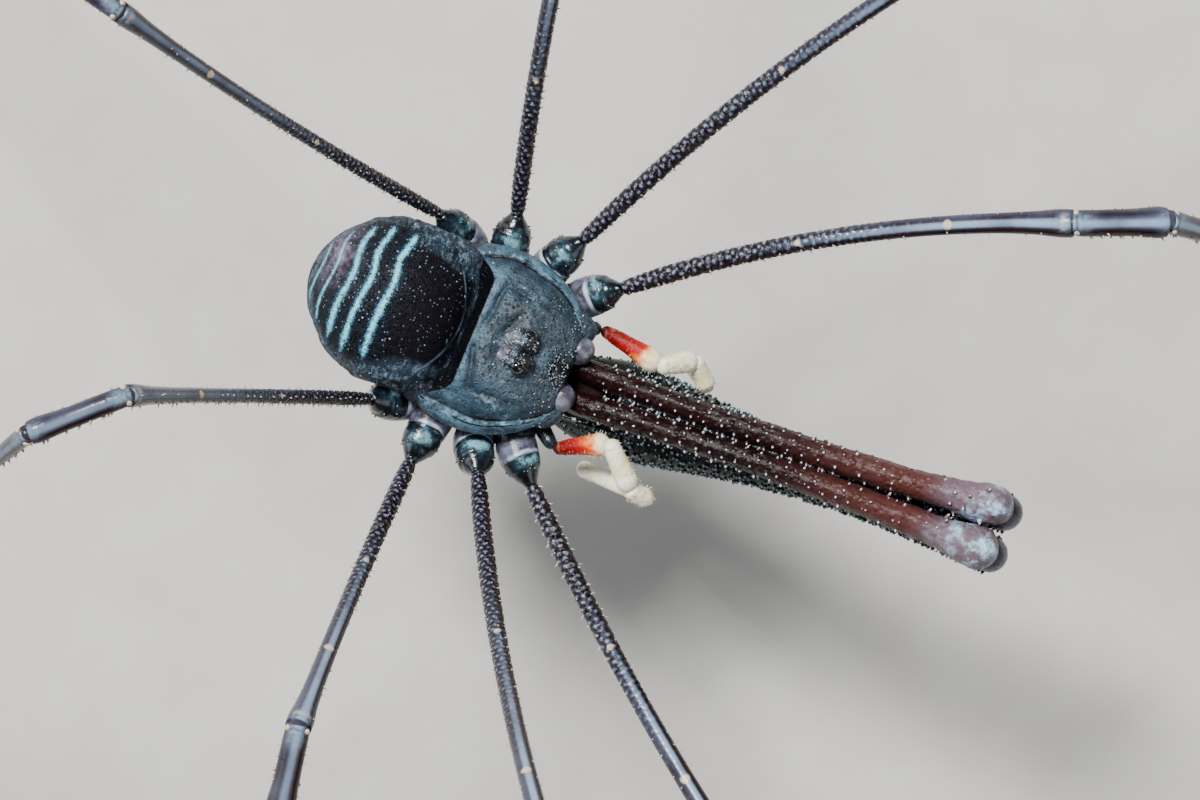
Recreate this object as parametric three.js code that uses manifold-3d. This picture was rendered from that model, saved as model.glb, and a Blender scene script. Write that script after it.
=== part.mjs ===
// A male long-jawed harvestman, life size, standing on its eight legs as a still museum model.
// Millimetres, +Z up, +X towards the head, +Y to the animal's left. The origin is on the floor,
// under the middle of the space that the legs take up.

import * as THREE from "three";
import { mergeVertices } from "three/addons/utils/BufferGeometryUtils.js";
import Module from "manifold-3d";

const wasm = await Module();
wasm.setup();

// Shorthand for a point, and for a direction from its compass angle and its climb in degrees.
const vec = (x, y, z) => new THREE.Vector3(x, y, z);
const rad = THREE.MathUtils.degToRad;
const level = (compass) => vec(Math.cos(rad(compass)), Math.sin(rad(compass)), 0);
const heading = (compass, climb) =>
  level(compass).multiplyScalar(Math.cos(rad(climb))).setZ(Math.sin(rad(climb)));
const UP = vec(0, 0, 1);

// Where the body hangs. Every place below is measured from the middle of the carapace's hind
// edge, at the height of its rim, and RIM_HEIGHT is how high the legs carry that rim.
const RIM_HEIGHT = 9.5;
const BODY_X = -1;
const BODY_Y = -3.6;
const GAP = 0.08;
const SIDES = { left: 1, right: -1 };

// Carapace and abdomen: their half widths, heights and depths at places along the body. The
// carapace's crown is its height from the middle line to the rim, with a groove inside the rim.
const CARAPACE = {
  from: -0.62,
  to: 2.12,
  wide: [[-0.62, 1.5], [-0.4, 1.78], [0, 1.88], [0.6, 1.89], [1.2, 1.72], [1.7, 1.42], [2.12, 1]],
  high: [[-0.62, 0.5], [0.2, 0.66], [1, 0.74], [1.6, 0.6], [2.12, 0.26]],
  deep: [[-0.62, 0.7], [0.4, 1.15], [1.4, 1.1], [2.12, 0.5]],
  crown: [[0, 1], [0.45, 0.95], [0.72, 0.66], [0.84, 0.44], [0.9, 0.47], [0.95, 0.38], [1, 0]],
  rings: 16,
  sides: 28,
};
const ABDOMEN = {
  from: -3.47,
  to: -0.08,
  wide: [[-3.47, 0.25], [-3.2, 0.75], [-2.8, 1.24], [-2.27, 1.58], [-1.65, 1.72], [-0.97, 1.6], [0, 1]],
  high: [[-3.47, 0.15], [-3.2, 0.55], [-2.6, 1.02], [-1.6, 1.3], [-0.7, 1.02], [-0.08, 0.5]],
  deep: [[-3.47, 0.15], [-3.2, 0.5], [-2.6, 1], [-1.6, 1.3], [-0.7, 1.15], [-0.08, 0.8]],
  rings: 18,
  sides: 24,
};

// The eye mound's two lobes with a ring of tubercles, the eyes, the spiny brow in front of them,
// and the soft lobes that the jaws hang from.
const MOUND = { x: 1, y: 0.16, z: 0.66, size: vec(0.38, 0.25, 0.42) };
const MOUND_THORNS = { count: 5, first: -50, step: 32, climb: 40, length: 0.1, root: 0.045 };
const EYE = { x: 1.11, y: 0.33, z: 0.9, radius: 0.16 };
const BROW = { x: 1.82, rowStep: 0.13, yStep: 0.13, rows: 2, count: 5, length: 0.12, root: 0.045 };
const LOBE = { x: 2.14, y: 0.5, z: -0.1, size: vec(0.3, 0.28, 0.34) };

// The jaws: a rising base to the knee, and a hand that folds back below it and ends in two
// fingers. Each stands off the pair's middle line by away, at its start, on its way and at its
// end, and is tall times as deep as it is wide. Turns are degrees round a limb from its top.
const JAW = {
  root: vec(2.55, -0.13, -0.38),
  compass: 2.5,
  climb: 15,
  length: 8.85,
  away: [0.4, 0.16, 0.52],
  radius: [[0, 0.24], [0.3, 0.25], [0.6, 0.28], [0.85, 0.32], [0.93, 0.43], [1, 0.42]],
  tall: 1.15,
};
const JAW_THORNS = {
  turns: [-55, -18, 20, 55],
  from: 0.05,
  to: 0.86,
  count: 9,
  length: 0.11,
  root: 0.04,
  lean: 0.3,
};
const HAND = {
  ahead: 0.15,
  below: 0.5,
  fall: 30,
  length: 8.1,
  away: [0.5, 0.28, 0.28, 0.6],
  radius: [[0, 0.4], [0.08, 0.34], [0.2, 0.26], [0.45, 0.29], [0.68, 0.4], [0.85, 0.47], [1, 0.36]],
  tall: 1.1,
};
const HAND_THORNS = {
  turns: [-155, -115, -75, -35, 35, 75, 115, 155],
  from: 0.14,
  to: 0.95,
  count: 7,
  length: 0.08,
  root: 0.05,
  lean: 0,
};
const KNEE_TILT = -70;
const FINGER = {
  length: 1.9,
  radius: [[0, 0.19], [0.6, 0.12], [1, 0.05]],
  away: [0.21, 0.3, 0.3, 0.07],
  sunk: 0.1,
};

// The palps: the places of each one's joints, from its root to its claw, and their radii.
const PALP_JOINTS = {
  left: [[2.38, 1.1, -0.55], [3.75, 0.95, -0.15], [4.28, 1.33, -0.65], [4.85, 1, -1], [4.15, 1.3, -1.85]],
  right: [[2.4, -1.5, -0.5], [3.42, -1, 0], [4.14, -1.69, -0.35], [4.56, -1.7, -0.7], [3, -1.6, -1.5]],
};
const PALP_COXA = { inner: [1.6, 0.85, -0.75], radius: [[0, 0.22], [1, 0.22]] };
const PALP = {
  femur: { radius: [[0, 0.15], [0.3, 0.19], [0.75, 0.24], [1, 0.22]], rings: 4 },
  patella: { radius: [[0, 0.2], [0.8, 0.25], [1, 0.24]], rings: 3 },
  tibia: { radius: [[0, 0.2], [0.6, 0.25], [1, 0.24]], rings: 3 },
  tarsus: { radius: [[0, 0.2], [0.5, 0.18], [1, 0.12]], rings: 3 },
};

// The legs, from the first pair to the fourth: the lengths of their stretches, and radii and
// thorns along each stretch of any leg.
const TROCHANTER_LENGTH = 0.85;
const LENGTHS = [
  { femur: 9.6, patella: 1.9, tibia: 8.6, metatarsus: 9.5, tarsus: 12 },
  { femur: 14, patella: 2.1, tibia: 13, metatarsus: 12, tarsus: 16 },
  { femur: 8.8, patella: 1.8, tibia: 7.8, metatarsus: 9.5, tarsus: 11 },
  { femur: 11, patella: 2, tibia: 10, metatarsus: 12, tarsus: 14 },
];
const LEG = {
  trochanter: { radius: [[0, 0.36], [0.2, 0.4], [0.5, 0.4], [0.85, 0.3], [1, 0.25]], rings: 4 },
  femur: { radius: [[0, 0.23], [0.1, 0.25], [0.6, 0.25], [0.93, 0.29], [1, 0.26]], rings: 6 },
  patella: { radius: [[0, 0.26], [0.7, 0.3], [0.9, 0.3], [1, 0.26]], rings: 4 },
  tibia: { radius: [[0, 0.26], [0.3, 0.25], [1, 0.25]], rings: 3 },
  foot: { radius: [[0, 0.25], [0.5, 0.25], [0.75, 0.22], [0.95, 0.2], [1, 0.1]], rings: 13 },
};
const LEG_THORNS = {
  turns: [-115, -55, 55, 115],
  from: 0.05,
  to: 0.93,
  length: 0.11,
  root: 0.045,
  lean: 0.4,
};
const LEG_THORNS_PER_MM = 0.56;
const TARSUS_REST = 0.17;
const COXA = {
  height: -0.65,
  innerDrop: 0.3,
  radius: [[0, 0.34], [0.6, 0.42], [1, 0.38]],
  inner: [[1.3, 0.5], [0.8, 0.45], [0.3, 0.45], [0.1, 0.7]],
};

// The stance. A root is where the coxa ends, and each stretch has its compass angle and its climb.
// Bend turns the femur sideways on its way to the knee, and turn swings the tarsus on the floor.
const leg = (root, trochanter, femur, bend, patella, tibia, metatarsus, turn) => ({
  root, trochanter, femur, bend, patella, tibia, metatarsus, turn,
});
const STANCE = {
  left: [
    leg([1.85, 1.6], [33, 30], [29.5, 19.5], -21, [24, -6], [14, -52], [10, -24], 8),
    leg([0.98, 1.95], [60, 27], [56, 23], -20, [48, -6], [52, -42], [56, -20], 14),
    leg([0.03, 1.88], [99, 31], [102, 43], -8, [100, -10], [105, -58], [108, -45], 12),
    leg([-0.93, 1.75], [160, 43], [174.5, 51], -8, [168, 0], [162, -60], [158, -39.5], -14),
  ],
  right: [
    leg([1.7, -1.78], [-45, 8], [-39, 18], 10, [-34, -6], [-32, -50], [-30, -21], 10),
    leg([0.9, -2.08], [-59, 45], [-57, 53], 14, [-50, -4], [-54, -62], [-58, -37.5], -14),
    leg([-0.1, -2.08], [-94, 20], [-89, 49], 4, [-80, -8], [-78, -60], [-82, -48], -12),
    leg([-0.9, -1.82], [-158, 52], [-152, 66], 3, [-136, 3], [-126, -63], [-122, -49.5], -10),
  ],
};

// Finishes, one material for each kind of surface.
const finish = (color, roughness) => new THREE.MeshStandardMaterial({ color, roughness, metalness: 0 });
const FINISH = {
  carapace: finish(0x2b3b45, 0.55),
  abdomen: finish(0x1a2028, 0.6),
  eye: finish(0x050507, 0.1),
  jaw: finish(0x3a1d1c, 0.45),
  hand: finish(0x14201f, 0.4),
  palpFemur: finish(0xd8482c, 0.5),
  palp: finish(0xe9e6c8, 0.5),
  trochanter: finish(0x14242b, 0.25),
  leg: finish(0x2b2127, 0.45),
};

// The same run of numbers between 0 and 1 every time, for small differences between thorns.
let drawn = 20231;
const draw = () => (drawn = (drawn * 16807) % 2147483647) / 2147483647;
const vary = (amount) => 1 + amount * (2 * draw() - 1);

// A smooth line through a few (place, value) points, flat past its ends.
function profile(points) {
  const last = points.length - 1;
  const slope = (i) => {
    const [a, b] = [points[Math.max(i - 1, 0)], points[Math.min(i + 1, last)]];
    return (b[1] - a[1]) / (b[0] - a[0]);
  };
  return (place) => {
    if (place <= points[0][0]) return points[0][1];
    if (place >= points[last][0]) return points[last][1];
    const i = points.findIndex((point) => point[0] > place) - 1;
    const [[x0, y0], [x1, y1]] = [points[i], points[i + 1]];
    const s = (place - x0) / (x1 - x0);
    const bend = (1 - s) * slope(i) - s * slope(i + 1);
    const straight = (1 - s) ** 2 * (1 + 2 * s) * y0 + s ** 2 * (3 - 2 * s) * y1;
    return straight + s * (1 - s) * (x1 - x0) * bend;
  };
}

// A closed geometry as a solid whose faces point out.
function solidOf(geometry) {
  const plain = new THREE.BufferGeometry().setAttribute("position", geometry.getAttribute("position"));
  const merged = mergeVertices(plain.setIndex(geometry.index), 1e-4);
  const corners = [...merged.index.array];
  const faces = [];
  for (let i = 0; i < corners.length; i += 3) {
    const [a, b, c] = corners.slice(i, i + 3);
    if (a !== b && b !== c && a !== c) faces.push([a, b, c]);
  }
  const vertProperties = new Float32Array(merged.getAttribute("position").array);
  const make = (list) => {
    const triVerts = new Uint32Array(list.flat());
    return new wasm.Manifold(new wasm.Mesh({ numProp: 3, vertProperties, triVerts }));
  };
  const solid = make(faces);
  return solid.volume() > 0 ? solid : make(faces.map(([a, b, c]) => [a, c, b]));
}

const join = (pieces) => pieces.reduce((sum, piece) => sum.add(piece));

// Only the largest closed body of a solid.
const largest = (solid) => solid.decompose().sort((a, b) => b.volume() - a.volume())[0];

// What is left of a solid beyond, or short of, a plane through a place, half a gap clear of it.
const past = (solid, { place, way }) => solid.trimByPlane(way.toArray(), place.dot(way) + GAP / 2);
const shortOf = (solid, { place, way }) => past(solid, { place, way: way.clone().negate() });

// A curve's place, direction, left side and top at a share of its length, straight past its ends.
function frameAt(curve, share) {
  const t = THREE.MathUtils.clamp(share, 0, 1);
  const along = curve.getTangentAt(t);
  const place = curve.getPointAt(t).addScaledVector(along, (share - t) * curve.getLength());
  const side = UP.clone().cross(along).normalize();
  return { place, along, side, top: along.clone().cross(side) };
}

// A round limb along a curve: its radius comes from a profile over the curve's length, and it is
// tall times as deep as it is wide. It runs on straight past both ends of the curve by over.
function limb(curve, radii, { rings = 6, sides = 8, tall = 1, over = 0 } = {}) {
  const radiusAt = profile(radii);
  const share = over / curve.getLength();
  const outline = [];
  for (let i = 0; i <= rings; i++) {
    const t = i / rings;
    outline.push(new THREE.Vector2(radiusAt(t), t * (1 + 2 * share) - share));
  }
  outline.unshift(new THREE.Vector2(0, outline[0].y));
  outline.push(new THREE.Vector2(0, outline.at(-1).y));
  const lathe = new THREE.LatheGeometry(outline, sides);
  const points = lathe.getAttribute("position");
  for (let i = 0; i < points.count; i++) {
    const { place, side, top } = frameAt(curve, points.getY(i));
    place.addScaledVector(side, points.getX(i)).addScaledVector(top, tall * points.getZ(i));
    points.setXYZ(i, place.x, place.y, place.z);
  }
  return solidOf(lathe);
}

// A thorn: a four-sided cone that stands on a place, with its root sunk in by twice its radius.
function thorn(place, way, length, root) {
  const sunk = 2 * root;
  const cone = new THREE.ConeGeometry((root * (length + sunk)) / length, length + sunk, 4);
  cone.translate(0, (length - sunk) / 2, 0);
  cone.applyQuaternion(new THREE.Quaternion().setFromUnitVectors(vec(0, 1, 0), way));
  return solidOf(cone.translate(place.x, place.y, place.z));
}

// Rows of thorns along a limb, each row at its own turn and staggered against the last, and every
// thorn leaning towards the limb's far end.
function thornRows(curve, radii, { turns, from, to, count, length, root, lean }, tall = 1) {
  const radiusAt = profile(radii);
  return turns.flatMap((turn, row) =>
    Array.from({ length: count }, (_, i) => {
      const share = from + ((to - from) * (i + (row % 2) / 2 + 0.3 * draw())) / count;
      const { place, along, side, top } = frameAt(curve, share);
      const angle = rad(turn + 12 * (draw() - 0.5));
      const out = side.multiplyScalar(Math.sin(angle)).addScaledVector(top, tall * Math.cos(angle));
      place.addScaledVector(out, radiusAt(share));
      return thorn(place, out.addScaledVector(along, lean).normalize(), length * vary(0.2), root);
    }),
  );
}

// An egg-shaped body along +X. Its crown, where it has one, shapes the top from the middle line
// to the edge, and grow adds a layer all over.
function egg({ from, to, wide, high, deep, crown, rings, sides }, grow = 0) {
  const [wideAt, highAt, deepAt] = [wide, high, deep].map(profile);
  const crownAt = crown ? profile(crown) : (across) => Math.sqrt(1 - across * across);
  const ball = new THREE.SphereGeometry(1, sides, rings);
  const [points, uv] = [ball.getAttribute("position"), ball.getAttribute("uv")];
  for (let i = 0; i < points.count; i++) {
    const [turn, slide] = [2 * Math.PI * uv.getX(i), (1 - Math.cos(Math.PI * uv.getY(i))) / 2];
    const x = from - grow + (to - from + 2 * grow) * slide;
    const edge = slide < 1e-6 || slide > 1 - 1e-6 ? 0 : 1;
    const [across, rise] = [Math.cos(turn), Math.sin(turn)];
    const top = crownAt(Math.min(Math.abs(across), 1)) * highAt(x) + grow * rise;
    const z = rise > 0 ? top : rise * (deepAt(x) + grow);
    points.setXYZ(i, x, edge * across * (wideAt(x) + grow), edge * z);
  }
  return solidOf(ball);
}

// A ball stretched to three half sizes about a place.
function blob(place, size, sides = 12) {
  const ball = new THREE.SphereGeometry(1, sides, sides / 2).scale(...size);
  return solidOf(ball.translate(...place));
}

const body = new THREE.Group();
body.position.set(BODY_X, BODY_Y, RIM_HEIGHT);

// A solid's largest piece as a named mesh on the body.
function add(name, solid, material) {
  const { vertProperties, triVerts, numProp } = largest(solid).getMesh();
  const places = [];
  for (let i = 0; i < vertProperties.length; i += numProp) places.push(...vertProperties.slice(i, i + 3));
  const indexed = new THREE.BufferGeometry();
  indexed.setAttribute("position", new THREE.Float32BufferAttribute(places, 3)).setIndex([...triVerts]);
  const geometry = indexed.toNonIndexed();
  geometry.computeVertexNormals();
  const mesh = new THREE.Mesh(geometry, material);
  mesh.name = name;
  body.add(mesh);
}

// A stretch of limb from a start, along a compass angle and climb, turning sideways by its bend.
function stretch(start, [compass, climb], length, bend = 0) {
  const middle = start.clone().addScaledVector(heading(compass - bend / 2, climb), length / 2);
  const end = middle.clone().addScaledVector(heading(compass + bend / 2, climb), length / 2);
  return new THREE.QuadraticBezierCurve3(start, middle, end);
}

// The straight metatarsus, and the tarsus that curves down to the floor and lies along it.
function footPath(start, [compass, climb], turn, { metatarsus, tarsus }) {
  const down = heading(compass, climb);
  const flat = level(compass + turn);
  const ankle = start.clone().addScaledVector(down, metatarsus);
  const reach = (ankle.z + RIM_HEIGHT - TARSUS_REST) / -down.z;
  const corner = ankle.clone().addScaledVector(down, reach);
  const landing = corner.clone().addScaledVector(flat, reach);
  const curve = new THREE.QuadraticBezierCurve3(ankle, corner, landing);
  const tip = landing.clone().addScaledVector(flat, tarsus - curve.getLength());
  const path = new THREE.CurvePath();
  path.add(new THREE.LineCurve3(start, ankle));
  path.add(curve);
  path.add(new THREE.LineCurve3(landing, tip));
  return path;
}

// The five stretches of one leg, in order from the body.
function legCurves(pose, size) {
  const root = vec(...pose.root, COXA.height);
  const trochanter = stretch(root, pose.trochanter, TROCHANTER_LENGTH);
  const femur = stretch(trochanter.v2, pose.femur, size.femur, pose.bend);
  const patella = stretch(femur.v2, pose.patella, size.patella);
  const tibia = stretch(patella.v2, pose.tibia, size.tibia);
  const foot = footPath(tibia.v2, pose.metatarsus, pose.turn, size);
  return { trochanter, femur, patella, tibia, foot };
}

// The plane where one stretch of a limb meets the next, square to the way between them.
function jointOf(before, after) {
  const way = before.getTangentAt(1).add(after.getTangentAt(0)).normalize();
  return { place: after.getPointAt(0), way };
}

// A chain of limbs, each cut off a gap short of the next. Thorns grow where rows are given.
function chain(curves, shapes, over, rows = {}) {
  const names = Object.keys(curves);
  return names.map((name, i) => {
    const { radius, rings } = shapes[name];
    let solid = limb(curves[name], radius, { rings, over });
    if (rows[name]) solid = join([solid, ...thornRows(curves[name], radius, rows[name])]);
    if (i > 0) solid = past(solid, jointOf(curves[names[i - 1]], curves[name]));
    if (i < names.length - 1) solid = shortOf(solid, jointOf(curves[name], curves[names[i + 1]]));
    return [name, solid];
  });
}

// The plane that ends a leg's coxa and starts its trochanter.
const rootPlane = (pose) => ({ place: vec(...pose.root, COXA.height), way: heading(...pose.trochanter) });

// One coxa, which runs from the middle of the underside to the root of its leg.
function coxa(sign, order, pose) {
  const { place, way } = rootPlane(pose);
  const [x, y] = COXA.inner[order];
  const start = vec(x, sign * y, COXA.height - COXA.innerDrop);
  const elbow = place.clone().addScaledVector(way, -0.5);
  const curve = new THREE.CubicBezierCurve3(start, start.clone().lerp(place, 0.4), elbow, place);
  return shortOf(limb(curve, COXA.radius, { rings: 4, over: 0.1 }), { place, way });
}

// The four stretches of one palp, and the plane where the first of them starts.
function palpCurves(side) {
  const joints = PALP_JOINTS[side].map((joint) => vec(...joint));
  return Object.fromEntries(
    Object.keys(PALP).map((name, i) => [name, new THREE.LineCurve3(joints[i], joints[i + 1])]),
  );
}
function palpPlane(side) {
  const { femur } = palpCurves(side);
  return { place: femur.v1, way: femur.getTangentAt(0) };
}

// The dark root piece that carries a palp.
function palpCoxa(side) {
  const [x, y, z] = PALP_COXA.inner;
  const plane = palpPlane(side);
  const curve = new THREE.LineCurve3(vec(x, SIDES[side] * y, z), plane.place);
  return shortOf(limb(curve, PALP_COXA.radius, { rings: 2, over: 0.1 }), plane);
}

// The height of the carapace's top at a place.
function carapaceTop(x, y) {
  const [wideAt, highAt, crownAt] = [CARAPACE.wide, CARAPACE.high, CARAPACE.crown].map(profile);
  return crownAt(Math.abs(y) / wideAt(x)) * highAt(x);
}

// The spiny patch in the middle of the carapace's front edge.
function browThorns() {
  const pieces = [];
  for (let row = 0; row < BROW.rows; row++) {
    for (let i = 0; i < BROW.count; i++) {
      const [x, y] = [BROW.x + row * BROW.rowStep, (i - (BROW.count - 1) / 2 + row / 4) * BROW.yStep];
      const way = vec(0.35, 0.8 * y, 1).normalize();
      pieces.push(thorn(vec(x, y, carapaceTop(x, y)), way, BROW.length * vary(0.25), BROW.root));
    }
  }
  return pieces;
}

function carapace() {
  const pieces = [egg(CARAPACE), ...browThorns()];
  for (const [side, sign] of Object.entries(SIDES)) {
    pieces.push(palpCoxa(side), blob(vec(LOBE.x, sign * LOBE.y, LOBE.z), LOBE.size));
    STANCE[side].forEach((pose, order) => pieces.push(coxa(sign, order, pose)));
  }
  add("carapace", join(pieces).subtract(egg(ABDOMEN, GAP)), FINISH.carapace);
}

// The mound stands on the carapace, with a socket for each eye and tubercles round its front.
function eyeMound() {
  const pieces = [];
  const sockets = [];
  for (const [side, sign] of Object.entries(SIDES)) {
    const place = vec(MOUND.x, sign * MOUND.y, MOUND.z);
    pieces.push(blob(place, MOUND.size));
    for (let i = 0; i < MOUND_THORNS.count; i++) {
      const way = heading(sign * (MOUND_THORNS.first + i * MOUND_THORNS.step), MOUND_THORNS.climb);
      const foot = way.clone().multiply(MOUND.size).add(place);
      pieces.push(thorn(foot, way, MOUND_THORNS.length * vary(0.2), MOUND_THORNS.root));
    }
    const centre = vec(EYE.x, sign * EYE.y, EYE.z);
    const ball = (radius) => blob(centre, vec(radius, radius, radius));
    sockets.push(ball(EYE.radius + GAP / 2));
    add(`eye_${side}`, ball(EYE.radius), FINISH.eye);
  }
  add("eye_mound", join(pieces).subtract(egg(CARAPACE, GAP)).subtract(join(sockets)), FINISH.carapace);
}

// A place some way along a line and off to its side.
const offLine = (start, way, length, out, away) =>
  start.clone().addScaledVector(way, length).addScaledVector(out, away);

// The middle lines of one jaw's base and hand, with the directions outwards and back.
function jawCurves(sign) {
  const along = heading(JAW.compass, JAW.climb);
  const out = level(JAW.compass + 90).multiplyScalar(sign);
  const back = heading(JAW.compass + 180, -HAND.fall);
  const baseStops = JAW.away.map((away, i) => offLine(JAW.root, along, (JAW.length * i) / 2, out, away));
  const knee = JAW.root.clone().addScaledVector(along, JAW.length).add(vec(HAND.ahead, 0, -HAND.below));
  const handStops = HAND.away.map((away, i) => offLine(knee, back, (HAND.length * i) / 3, out, away));
  const base = new THREE.QuadraticBezierCurve3(...baseStops);
  return { base, hand: new THREE.CubicBezierCurve3(...handStops), out, back };
}

// One finger: it bows away from its twin and comes back to meet it at the tip.
function finger(start, back, out) {
  const stops = FINGER.away.map((away, i) => offLine(start, back, (FINGER.length * i) / 3, out, away));
  return limb(new THREE.CubicBezierCurve3(...stops), FINGER.radius, { rings: 5 });
}

function jaws() {
  for (const [side, sign] of Object.entries(SIDES)) {
    const { base, hand, out, back } = jawCurves(sign);
    const fold = { way: heading(JAW.compass, KNEE_TILT), place: base.v2.clone().lerp(hand.v0, 0.5) };
    const shank = limb(base, JAW.radius, { rings: 12, sides: 10, over: 0.1, tall: JAW.tall });
    const studs = thornRows(base, JAW.radius, JAW_THORNS, JAW.tall);
    add(`chelicera_${side}_base`, shortOf(join([shank, ...studs]), fold), FINISH.jaw);
    const palm = limb(hand, HAND.radius, { rings: 12, sides: 10, over: 0.05, tall: HAND.tall });
    const knobs = thornRows(hand, HAND.radius, HAND_THORNS, HAND.tall);
    const fixed = finger(hand.v3.clone().addScaledVector(back, -FINGER.sunk), back, out.clone().negate());
    add(`chelicera_${side}_hand`, past(join([palm, fixed, ...knobs]), fold), FINISH.hand);
    const moving = finger(hand.v3.clone().addScaledVector(back, FINGER.sunk + GAP), back, out);
    add(`chelicera_${side}_finger`, moving, FINISH.hand);
  }
}

function palps() {
  for (const side of Object.keys(SIDES)) {
    for (const [name, solid] of chain(palpCurves(side), PALP, 0.12)) {
      const first = name === "femur";
      const whole = first ? past(solid, palpPlane(side)) : solid;
      add(`palp_${side}_${name}`, whole, first ? FINISH.palpFemur : FINISH.palp);
    }
  }
}

// The legs stand on the floor, where the underside of each tarsus is flat.
function legs() {
  const floor = { place: vec(0, 0, -RIM_HEIGHT - GAP / 2), way: UP };
  const bellyRoom = egg(ABDOMEN, GAP);
  for (const side of Object.keys(SIDES)) {
    STANCE[side].forEach((pose, order) => {
      const size = LENGTHS[order];
      const rows = { femur: { ...LEG_THORNS, count: Math.round(size.femur * LEG_THORNS_PER_MM) } };
      const stretches = Object.fromEntries(chain(legCurves(pose, size), LEG, 0.2, rows));
      stretches.trochanter = past(stretches.trochanter, rootPlane(pose)).subtract(bellyRoom);
      stretches.foot = past(stretches.foot, floor);
      for (const [name, solid] of Object.entries(stretches)) {
        const material = name === "trochanter" ? FINISH.trochanter : FINISH.leg;
        add(`leg_${order + 1}_${side}_${name}`, solid, material);
      }
    });
  }
}

carapace();
add("abdomen", egg(ABDOMEN), FINISH.abdomen);
eyeMound();
jaws();
palps();
legs();

const model = new THREE.Group();
model.add(body);

export default model;
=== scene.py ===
from collections import namedtuple

import bpy
import numpy as np
from mathutils import Matrix, Vector


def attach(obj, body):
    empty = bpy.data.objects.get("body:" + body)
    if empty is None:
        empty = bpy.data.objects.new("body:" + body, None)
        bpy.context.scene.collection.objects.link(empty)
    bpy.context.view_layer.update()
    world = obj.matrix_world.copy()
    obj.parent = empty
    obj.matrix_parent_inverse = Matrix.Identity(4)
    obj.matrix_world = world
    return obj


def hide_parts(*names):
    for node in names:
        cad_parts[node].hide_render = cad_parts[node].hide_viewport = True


# The looks of a male long-jawed harvestman, life size. Shapes are worked out in millimetres from
# the middle of the carapace's hind edge, at the height of its rim, with +X towards the head and
# +Y to the animal's left, and are then set in place in metres.

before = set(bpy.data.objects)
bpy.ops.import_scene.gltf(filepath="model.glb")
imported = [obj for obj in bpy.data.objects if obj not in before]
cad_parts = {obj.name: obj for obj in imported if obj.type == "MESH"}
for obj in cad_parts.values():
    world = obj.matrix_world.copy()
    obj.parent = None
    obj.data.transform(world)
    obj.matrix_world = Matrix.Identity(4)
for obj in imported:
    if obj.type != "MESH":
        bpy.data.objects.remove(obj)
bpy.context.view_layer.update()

MM = 0.001
BODY = np.array([-1.0, -3.6, 9.5])
SIDES = {"left": 1, "right": -1}
UP = np.array([0.0, 0.0, 1.0])
chance = np.random.default_rng(20231)

# Carapace: half widths, heights and depths at places along it, and the rise from its rim to its
# crown. Its hind edge is straight in the middle and runs back to a corner on each side. Folds are
# (from, to, half width, rise) across the left half of its top, and are mirrored.
CARAPACE = {
    "front": 2.12,
    "corner": -0.6,
    "corner_from": 0.56,
    "wide": [[-0.62, 1.62], [-0.4, 1.78], [0, 1.88], [0.6, 1.89], [1.2, 1.72], [1.7, 1.42], [2.12, 1]],
    "high": [[-0.62, 0.5], [0.2, 0.66], [1, 0.74], [1.6, 0.6], [2.12, 0.3]],
    "deep": [[-0.62, 0.7], [0.4, 1.15], [1.4, 1.1], [2.12, 0.5]],
    "crown": [[0, 1], [0.45, 0.95], [0.72, 0.72], [0.81, 0.55], [0.84, 0.43], [0.875, 0.45], [0.93, 0.38],
              [0.97, 0.25], [1, 0]],
    "rings": 150,
    "top": 230,
    "under": 40,
}
FOLDS = [
    ((0.12, 0.2), (0.34, 1.12), 0.07, -0.06),
    ((0.34, 1.12), (1.4, 1.0), 0.08, -0.05),
    ((0.6, 1.27), (1.4, 0.84), 0.06, 0.026),
    ((1.72, 0.0), (2.3, 0.0), 0.14, -0.11),
    ((0.5, 0.1), (0.9, 0.72), 0.1, -0.035),
    ((1.4, 0.2), (1.85, 0.6), 0.08, -0.035),
]

# Abdomen: its outline, the places of its pale cross stripes with the half width of each, how far
# each reaches to a side, how pale it is and how it bows, the bend that they all share, where the
# flanks begin to each side, and the pale line that bounds the velvet in front.
ABDOMEN = {
    "from": -3.47,
    "to": -0.02,
    "wide": [[0, 0], [16, 0.42], [33, 0.83], [53, 1.27], [73, 1.59], [94, 1.72], [117, 1.66], [131, 1.52],
             [143, 1.36], [180, 0.9]],
    "high": [[0, 0], [33, 0.57], [53, 0.92], [73, 1.17], [94, 1.3], [115, 1.18], [131, 0.92], [143, 0.64],
             [153, 0.4], [180, 0.1]],
    "deep": [[0, 0], [33, 0.55], [53, 0.9], [73, 1.16], [94, 1.3], [120, 1.2], [180, 0.6]],
    "rings": 240,
    "sides": 300,
}
STRIPES = [
    (-1.81, 0.088, 1.5, 1.0, 0.0),
    (-2.27, 0.086, 1.47, 0.95, 0.0),
    (-2.65, 0.082, 1.31, 0.85, 0.02),
    (-3.03, 0.042, 1.1, 0.65, 0.1),
    (-3.29, 0.036, 0.8, 0.55, 0.18),
]
STRIPE_BEND = [[-1.4, 0], [-1.1, -0.03], [-0.7, -0.05], [-0.35, -0.02], [0, 0.02], [0.25, 0.03], [0.48, 0],
               [0.75, -0.03], [1.05, 0.02], [1.4, 0.08]]
FLANK = [[-3.4, 1.2], [-1.8, 1.4], [-1.1, 1.08], [-0.5, 0.94], [0, 0.8]]
VELVET = {"front": -0.26, "bow": 0.33, "line": 0.014}

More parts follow.
